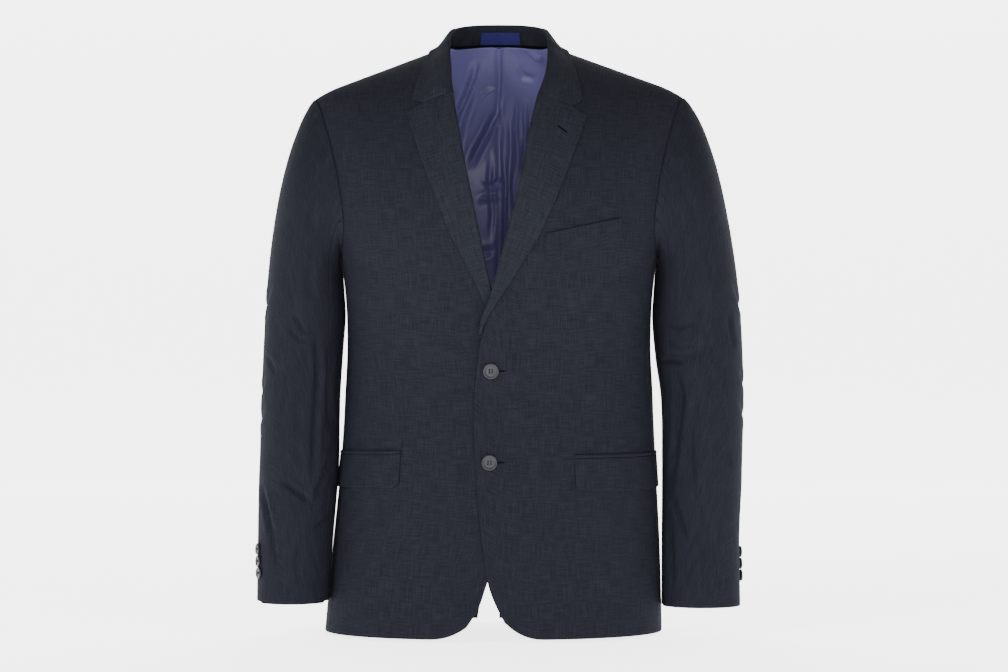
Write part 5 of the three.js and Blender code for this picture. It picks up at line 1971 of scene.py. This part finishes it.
@dataclass
class Stitching:
    """Stitches at points in millimetres, each with the way it runs and the way it faces."""

    name: str
    points: np.ndarray
    along: np.ndarray
    facing: np.ndarray
    length: float
    thickness: float
    thread: bpy.types.Material
    unevenness: float = 0.12
    seed: int = 4

    def build(self) -> bpy.types.Object:
        """Lays the stitches and returns them as a plain mesh.

        Returns:
            The new object.
        """
        mesh = bpy.data.meshes.new(f"{self.name} points")
        mesh.from_pydata((self.points * MM).tolist(), [], [])
        for name, values in (("along", self.along), ("facing", self.facing)):
            layer = mesh.attributes.new(name, "FLOAT_VECTOR", "POINT")
            layer.data.foreach_set("vector", np.asarray(values, np.float32).ravel())
        guide = bpy.data.objects.new(f"{self.name} points", mesh)
        bpy.context.scene.collection.objects.link(guide)
        modifier = guide.modifiers.new("stitches", "NODES")
        modifier.node_group = StitchGroup.get()
        given = {"Length": self.length * MM, "Thickness": self.thickness * MM, "Unevenness": self.unevenness,
                 "Seed": self.seed, "Thread": self.thread}
        for item in modifier.node_group.interface.items_tree:
            if item.in_out == "INPUT" and item.name in given:
                modifier[item.identifier] = given[item.name]
        bpy.context.view_layer.update()
        made = bpy.data.meshes.new_from_object(guide.evaluated_get(bpy.context.evaluated_depsgraph_get()))
        obj = bpy.data.objects.new(self.name, made)
        bpy.context.scene.collection.objects.link(obj)
        bpy.data.objects.remove(guide)
        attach(obj, "root")
        log.info("%s: %d stitches", self.name, len(self.points))
        return obj


@dataclass(frozen=True)
class Buttonhole:
    """A worked buttonhole on the left front: its ends as x and z, and the lift of its cloth there.

    Its slit shows for the share open, from the start on.
    """

    name: str
    start: tuple
    end: tuple
    lift: Callable
    open: float = 1.0

    def laid(self, places: np.ndarray, above: float = 0.0) -> tuple:
        """Points and normals on the cloth.

        Args:
            places: Rows of x and z.
            above: Millimetres above the cloth.

        Returns:
            Points and unit directions.
        """
        x, z = places[:, 0], places[:, 1]
        angle = Body.front_angle(x, z)
        return Body.on(angle, z, self.lift(x, z) + above), Body.normal(angle, z)

    def build(self, thread: bpy.types.Material, dark: bpy.types.Material) -> list:
        """The purl stitches round the slit, and the slit as a near-black strip of painted shade.

        Args:
            thread: The thread's material.
            dark: The slit's material, a painted shade.

        Returns:
            The new pieces.
        """
        start, end = np.array(self.start), np.array(self.end)
        run = end - start
        length = float(np.linalg.norm(run))
        run = run / length
        side = np.array([-run[1], run[0]])
        half = 0.75
        count = int(length / 0.55)
        places, outward = [], []
        for sign in (1, -1):
            for t in np.linspace(0, 1, count):
                places.append(start + run * length * t + side * sign * half)
                outward.append(side * sign)
        for turn in np.linspace(-80, 80, 6):
            bend = math.radians(turn)
            spoke = run * math.cos(bend) + side * math.sin(bend)
            places.append(end + spoke * half)
            outward.append(spoke)
        places, outward = np.array(places), np.array(outward)
        points, normal = self.laid(places, 0.1)
        along = unit(self.laid(places + outward * 0.2, 0.1)[0] - points)
        purl = Stitching(f"{self.name}-purl", points, along, normal, 1.4, 0.5, thread, 0.2).build()
        # The slit is a near-black strip of painted shade
        cut = start + run * length * np.linspace(0, self.open, 24)[:, None]
        points, normal = self.laid(cut, 0.4)
        along = np.tile(unit(points[-1:] - points[:1]), (len(cut), 1))
        slit = Stitching(f"{self.name}-slit", points, along, normal, 1.6, 1.1, dark, 0.05).build()
        return [purl, slit]


def on_front(x: Values, z: Values) -> Values:
    """The lift of the left front's outer face."""
    return front_lift(Side.LEFT, x, z)


def on_lapel(x: Values, z: Values) -> Values:
    """The lift of the left lapel's outer face.

    Args:
        x: Across, in millimetres.
        z: Up, in millimetres.

    Returns:
        Millimetres outwards.
    """
    roll = ROLL_X[Side.LEFT](z)
    share = (x - roll) / (LAPEL_X[Side.LEFT](z) - roll)
    return front_lift(Side.LEFT, x, z) + LAY + CLOTH + ROLL_PUFF * (1 - share) ** 2


# Creases of the body: front darts, the pull at the buttons, and soft falls on every side
BODY_CREASES = (
    *seen_from(
        Seen.FRONT,
        (((-121.5, -512), (-124, -440), (-127.7, -352)), 2.0, 0.9),
        (((122, -516), (124, -440), (126.5, -358)), 2.0, 0.8),
        (((-24, -424), (-62, -441), (-112, -449)), 8.1, 1.2),
        (((14, -400), (52, -381), (88, -377)), 9.0, 1.1),
        (((6, -428), (44, -446), (92, -452)), 7.2, 1.2),
        (((-36, -398), (-70, -384), (-108, -380)), 8.1, -0.9),
        (((30, -460), (33, -540), (40, -610)), 11.7, 1.2),
        (((-66, -520), (-70, -600), (-64, -690)), 13.5, 1.4),
        (((84, -575), (92, -640), (88, -715)), 12.6, 1.2),
        (((150, -330), (146, -390), (152, -450)), 12.6, 1.6),
        (((-150, -320), (-146, -380), (-154, -452)), 11.7, 1.8),
        (((-186, -262), (-160, -283), (-128, -288)), 8.1, 1.8),
        (((184, -266), (156, -292), (126, -303)), 8.1, 1.5),
        (((-176, -150), (-168, -205), (-172, -250)), 9.9, 1.9),
        (((174, -140), (166, -196), (172, -246)), 10.8, 1.8),
        (((10, -470), (24, -476), (41, -492)), 3.6, 0.7),
        (((26, -598), (22, -612), (27, -628)), 3.6, 0.7),
    ),
    *seen_from(
        Seen.BACK,
        (((-66, -70), (-84, -160), (-78, -240)), 15.2, 2.9),
        (((62, -66), (86, -150), (90, -236)), 16.1, 2.7),
        (((-150, -130), (-140, -210), (-146, -268)), 10.4, 3.2),
        (((152, -120), (140, -204), (148, -262)), 11.4, 3.0),
        (((-120, -352), (-60, -372), (-6, -366)), 10.4, 2.7),
        (((118, -368), (66, -386), (14, -388)), 9.5, 2.4),
        (((-40, -20), (0, -29), (44, -18)), 7.6, 2.2),
        (((54, -470), (60, -560), (70, -680)), 15.2, 2.6),
        (((-84, -460), (-92, -560), (-90, -700)), 16.1, 2.7),
        (((130, -440), (138, -540), (132, -640)), 13.3, 1.9),
        (((24, -430), (31, -500), (27, -560)), 10.4, -1.8),
    ),
    *seen_from(
        Seen.LEFT,
        (((-40, -320), (-22, -390), (-30, -470)), 11.4, 2.2),
        (((36, -400), (44, -500), (40, -600)), 12.3, 2.1),
    ),
    *seen_from(
        Seen.RIGHT,
        (((-34, -330), (-26, -400), (-36, -480)), 11.4, 2.1),
        (((38, -390), (40, -480), (46, -590)), 12.3, 2.2),
    ),
)

RIGHT_SLEEVE_CREASES = (
    *seen_from(
        Seen.FRONT,
        (((-231.6, -360), (-229, -420.9), (-232.8, -475.3), (-235.4, -557.6)), 3.5, 5.3),
        (((-237, -590), (-222, -548), (-209, -512)), 3.2, 4.3),
        (((-226, -575), (-214, -551), (-212, -530)), 2.2, 2.4),
        (((-279, -549), (-262, -560), (-233, -583)), 2.9, 4.0),
        (((-208, -586), (-222, -602), (-238, -614)), 2.5, 3.0),
        (((-305, -548), (-287.3, -618.4), (-280, -668)), 3.2, 3.6),
        (((-262, -338), (-251, -352), (-243, -368)), 2.5, 2.4),
        (((-268, -356), (-254, -371), (-240, -377)), 2.5, 2.0),
        (((-298, -392), (-289.8, -403.2), (-282, -420)), 2.9, 2.0),
        (((-243, -425), (-246, -470), (-249, -530)), 4.2, -2.4),
        (((-270, -430), (-274, -490), (-268, -540)), 5.1, 1.7),
        (((-246, -610), (-254, -650), (-252, -690)), 3.8, 2.0),
        (((-226, -240), (-240, -290), (-238, -330)), 5.8, 2.6),
        (((-222, -150), (-233, -190), (-240, -240)), 5.8, 1.7),
        (((-214, -400), (-217, -440), (-215, -490)), 2.5, 3.0),
    ),
    *seen_from(
        Seen.RIGHT,
        (((-40, -300), (-8, -332), (24, -340)), 5.6, 2.3),
        (((-36, -420), (-6, -446), (22, -444)), 4.8, 2.9),
        (((-44, -460), (-14, -474), (10, -496)), 4.8, 2.3),
        (((10, -520), (-12, -570), (-22, -640)), 6.4, 2.1),
        (((26, -180), (20, -250), (30, -310)), 8.8, 2.0),
    ),
    *seen_from(
        Seen.BACK,
        (((-226, -400), (-252, -428), (-282, -430)), 4.8, 3.4),
        (((-222, -446), (-246, -462), (-274, -484)), 5.2, 2.9),
        (((-230, -300), (-240, -350), (-236, -396)), 6.4, 2.6),
        (((-262, -520), (-256, -590), (-262, -660)), 6.4, 2.3),
        (((-238, -150), (-246, -220), (-242, -290)), 8.0, 2.1),
    ),
    *seen_from(
        Seen.LEFT,
        (((-30, -440), (-12, -480), (-18, -540)), 5.6, 2.1),
    ),
)

LEFT_SLEEVE_CREASES = (
    *seen_from(
        Seen.FRONT,
        (((204, -402), (219, -400.5), (236, -403.5)), 2.2, 4.0),
        (((222, -405), (230.5, -447.5), (225, -507), (218, -565)), 3.5, 4.9),
        (((210, -556), (222.9, -583), (242, -634)), 2.9, 4.4),
        (((241.9, -482), (244, -525), (247, -570)), 2.9, 2.2),
        (((208, -350), (228, -358), (250, -351)), 2.5, 2.3),
        (((212, -374), (230, -383), (252, -380)), 2.2, 2.0),
        (((290, -332), (294, -360), (300, -388)), 2.9, 2.6),
        (((284, -506), (290, -520), (294, -540)), 2.5, 2.3),
        (((262, -392), (268, -430), (264, -468)), 3.8, 2.2),
        (((236, -418), (241, -448), (238, -500)), 3.8, -2.2),
        (((252, -600), (262, -650), (260, -696)), 3.8, 1.8),
        (((280, -590), (274, -640), (280, -690)), 3.8, 1.8),
        (((224, -236), (240, -284), (238, -330)), 5.8, 2.5),
        (((224, -146), (236, -190), (244, -244)), 5.8, 1.6),
        (((216, -590), (218, -640), (222, -690)), 3.2, 2.5),
    ),
    *seen_from(
        Seen.LEFT,
        (((-38, -296), (-10, -330), (26, -334)), 5.6, 2.2),
        (((-34, -410), (-4, -436), (26, -430)), 4.8, 2.9),
        (((-42, -450), (-10, -470), (16, -492)), 4.8, 2.3),
        (((14, -530), (-8, -580), (-16, -650)), 6.4, 2.0),
        (((30, -170), (24, -240), (34, -300)), 8.8, 2.0),
    ),
    *seen_from(
        Seen.BACK,
        (((228, -392), (252, -420), (286, -424)), 4.8, 3.2),
        (((226, -440), (250, -458), (280, -474)), 5.2, 2.6),
        (((232, -296), (244, -346), (240, -388)), 6.4, 2.6),
        (((264, -520), (258, -590), (264, -664)), 6.4, 2.2),
        (((240, -150), (250, -216), (246, -286)), 8.0, 2.0),
    ),
    *seen_from(
        Seen.RIGHT,
        (((-28, -436), (-10, -476), (-14, -536)), 5.6, 2.0),
    ),
)


@dataclass(frozen=True)
class Lamp:
    """A soft area light: where it is, what it points at, its size and its power in watts."""

    name: str
    place: tuple
    target: tuple
    size: float
    watts: float

    def build(self) -> None:
        """Adds the light."""
        data = bpy.data.lights.new(self.name, "AREA")
        data.shape = "DISK"
        data.size = self.size
        data.energy = self.watts
        lamp = bpy.data.objects.new(self.name, data)
        lamp.location = self.place
        lamp.rotation_euler = (Vector(self.target) - Vector(self.place)).to_track_quat("-Z", "Y").to_euler()
        bpy.context.scene.collection.objects.link(lamp)


@dataclass
class Studio:
    """The camera, the lights and a plain pale floor that curves up behind."""

    camera_y: float = -3.2
    camera_x: float = 0.00645
    camera_z: float = -0.369
    lens: float = 88.6
    floor_z: float = -0.752
    floor_glow: float = 3.3
    surround: float = 0.35
    lamps: tuple = field(default_factory=lambda: (
        Lamp("key", (-1.9, -2.0, 1.3), (0, 0, -0.4), 0.8, 62.0),
        Lamp("fill", (2.0, -2.2, 0.9), (0, 0, -0.4), 0.9, 22.0),
        Lamp("front", (0.1, -3.6, -0.1), (0, 0, -0.3), 0.6, 30.0),
    ))

    def camera(self) -> None:
        """The camera stands level with the jacket's middle."""
        data = bpy.data.cameras.new("camera")
        data.lens = self.lens
        data.sensor_width = 36.0
        camera = bpy.data.objects.new("camera", data)
        camera.location = (self.camera_x, self.camera_y, self.camera_z)
        camera.rotation_euler = (math.radians(90), 0, 0)
        bpy.context.scene.collection.objects.link(camera)
        bpy.context.scene.camera = camera

    def floor(self) -> None:
        """A pale floor that turns up into a wall far behind."""
        profile = [(-6.0, 0.0), (3.0, 0.0)]
        bends = np.linspace(0.1, math.pi / 2, 14)
        profile += [(3.0 + 1.5 * math.sin(bend), 1.5 - 1.5 * math.cos(bend)) for bend in bends]
        profile += [(4.5, 6.0)]
        points = np.array([(x, y, z + self.floor_z) for y, z in profile for x in (-8.0, 8.0)])
        first = np.arange(0, len(points) - 2, 2)
        faces = np.stack([first, first + 1, first + 3, first + 2], axis=-1)
        floor = mesh_object("floor", points, faces)
        nodes = Nodes("white paper")
        shader = nodes.add("ShaderNodeBsdfPrincipled", {}, Base_Color=linear("#FBFBFB"), Roughness=0.9,
                           Emission_Color=(1, 1, 1, 1), Emission_Strength=self.floor_glow)
        floor.data.materials.append(nodes.finish(shader))

    def world(self) -> None:
        """An even white surround."""
        world = bpy.data.worlds.new("studio")
        world.use_nodes = True
        back = world.node_tree.nodes["Background"]
        back.inputs["Color"].default_value = (1.0, 1.0, 1.0, 1.0)
        back.inputs["Strength"].default_value = self.surround
        bpy.context.scene.world = world

    def build(self) -> None:
        """Sets up the studio."""
        self.camera()
        self.floor()
        self.world()
        for lamp in self.lamps:
            lamp.build()


def main() -> None:
    """Builds every piece, then the studio."""
    logging.basicConfig(level=logging.INFO, format="%(name)s: %(message)s")
    Body.creases = BODY_CREASES
    SLEEVES[Side.RIGHT].creases = RIGHT_SLEEVE_CREASES
    SLEEVES[Side.LEFT].creases = LEFT_SLEEVE_CREASES
    # The facing cloth of the lapels and collar is the suiting a shade lighter: painted light for their lit
    # faces
    suiting, facing, satin = SUITING.material(), PAINTED_LIT_FACING.material(), SATIN.material()
    horn, thread = HORN.material(), THREAD.material()
    Pockets(suiting).build()
    BodyPanels(suiting, satin).build()
    SleevePair(suiting, satin).build()
    Neck(facing, RIBBON.material()).build()
    BackLining(satin).build()
    Buttons(horn, thread).build()
    dark = SHADOW.material()
    holes = (
        Buttonhole("upper-buttonhole", (-9.8, -412.7), (11.2, -412.7), on_front, 0.78),
        Buttonhole("lower-buttonhole", (-11.6, -526.7), (10.0, -526.7), on_front, 0.8),
        Buttonhole("lapel-buttonhole", (73.0, -107.6), (84.2, -115.4), on_lapel),
    )
    for hole in holes:
        hole.build(thread, dark)
    Studio().build()


if __name__ == "__main__":
    main()
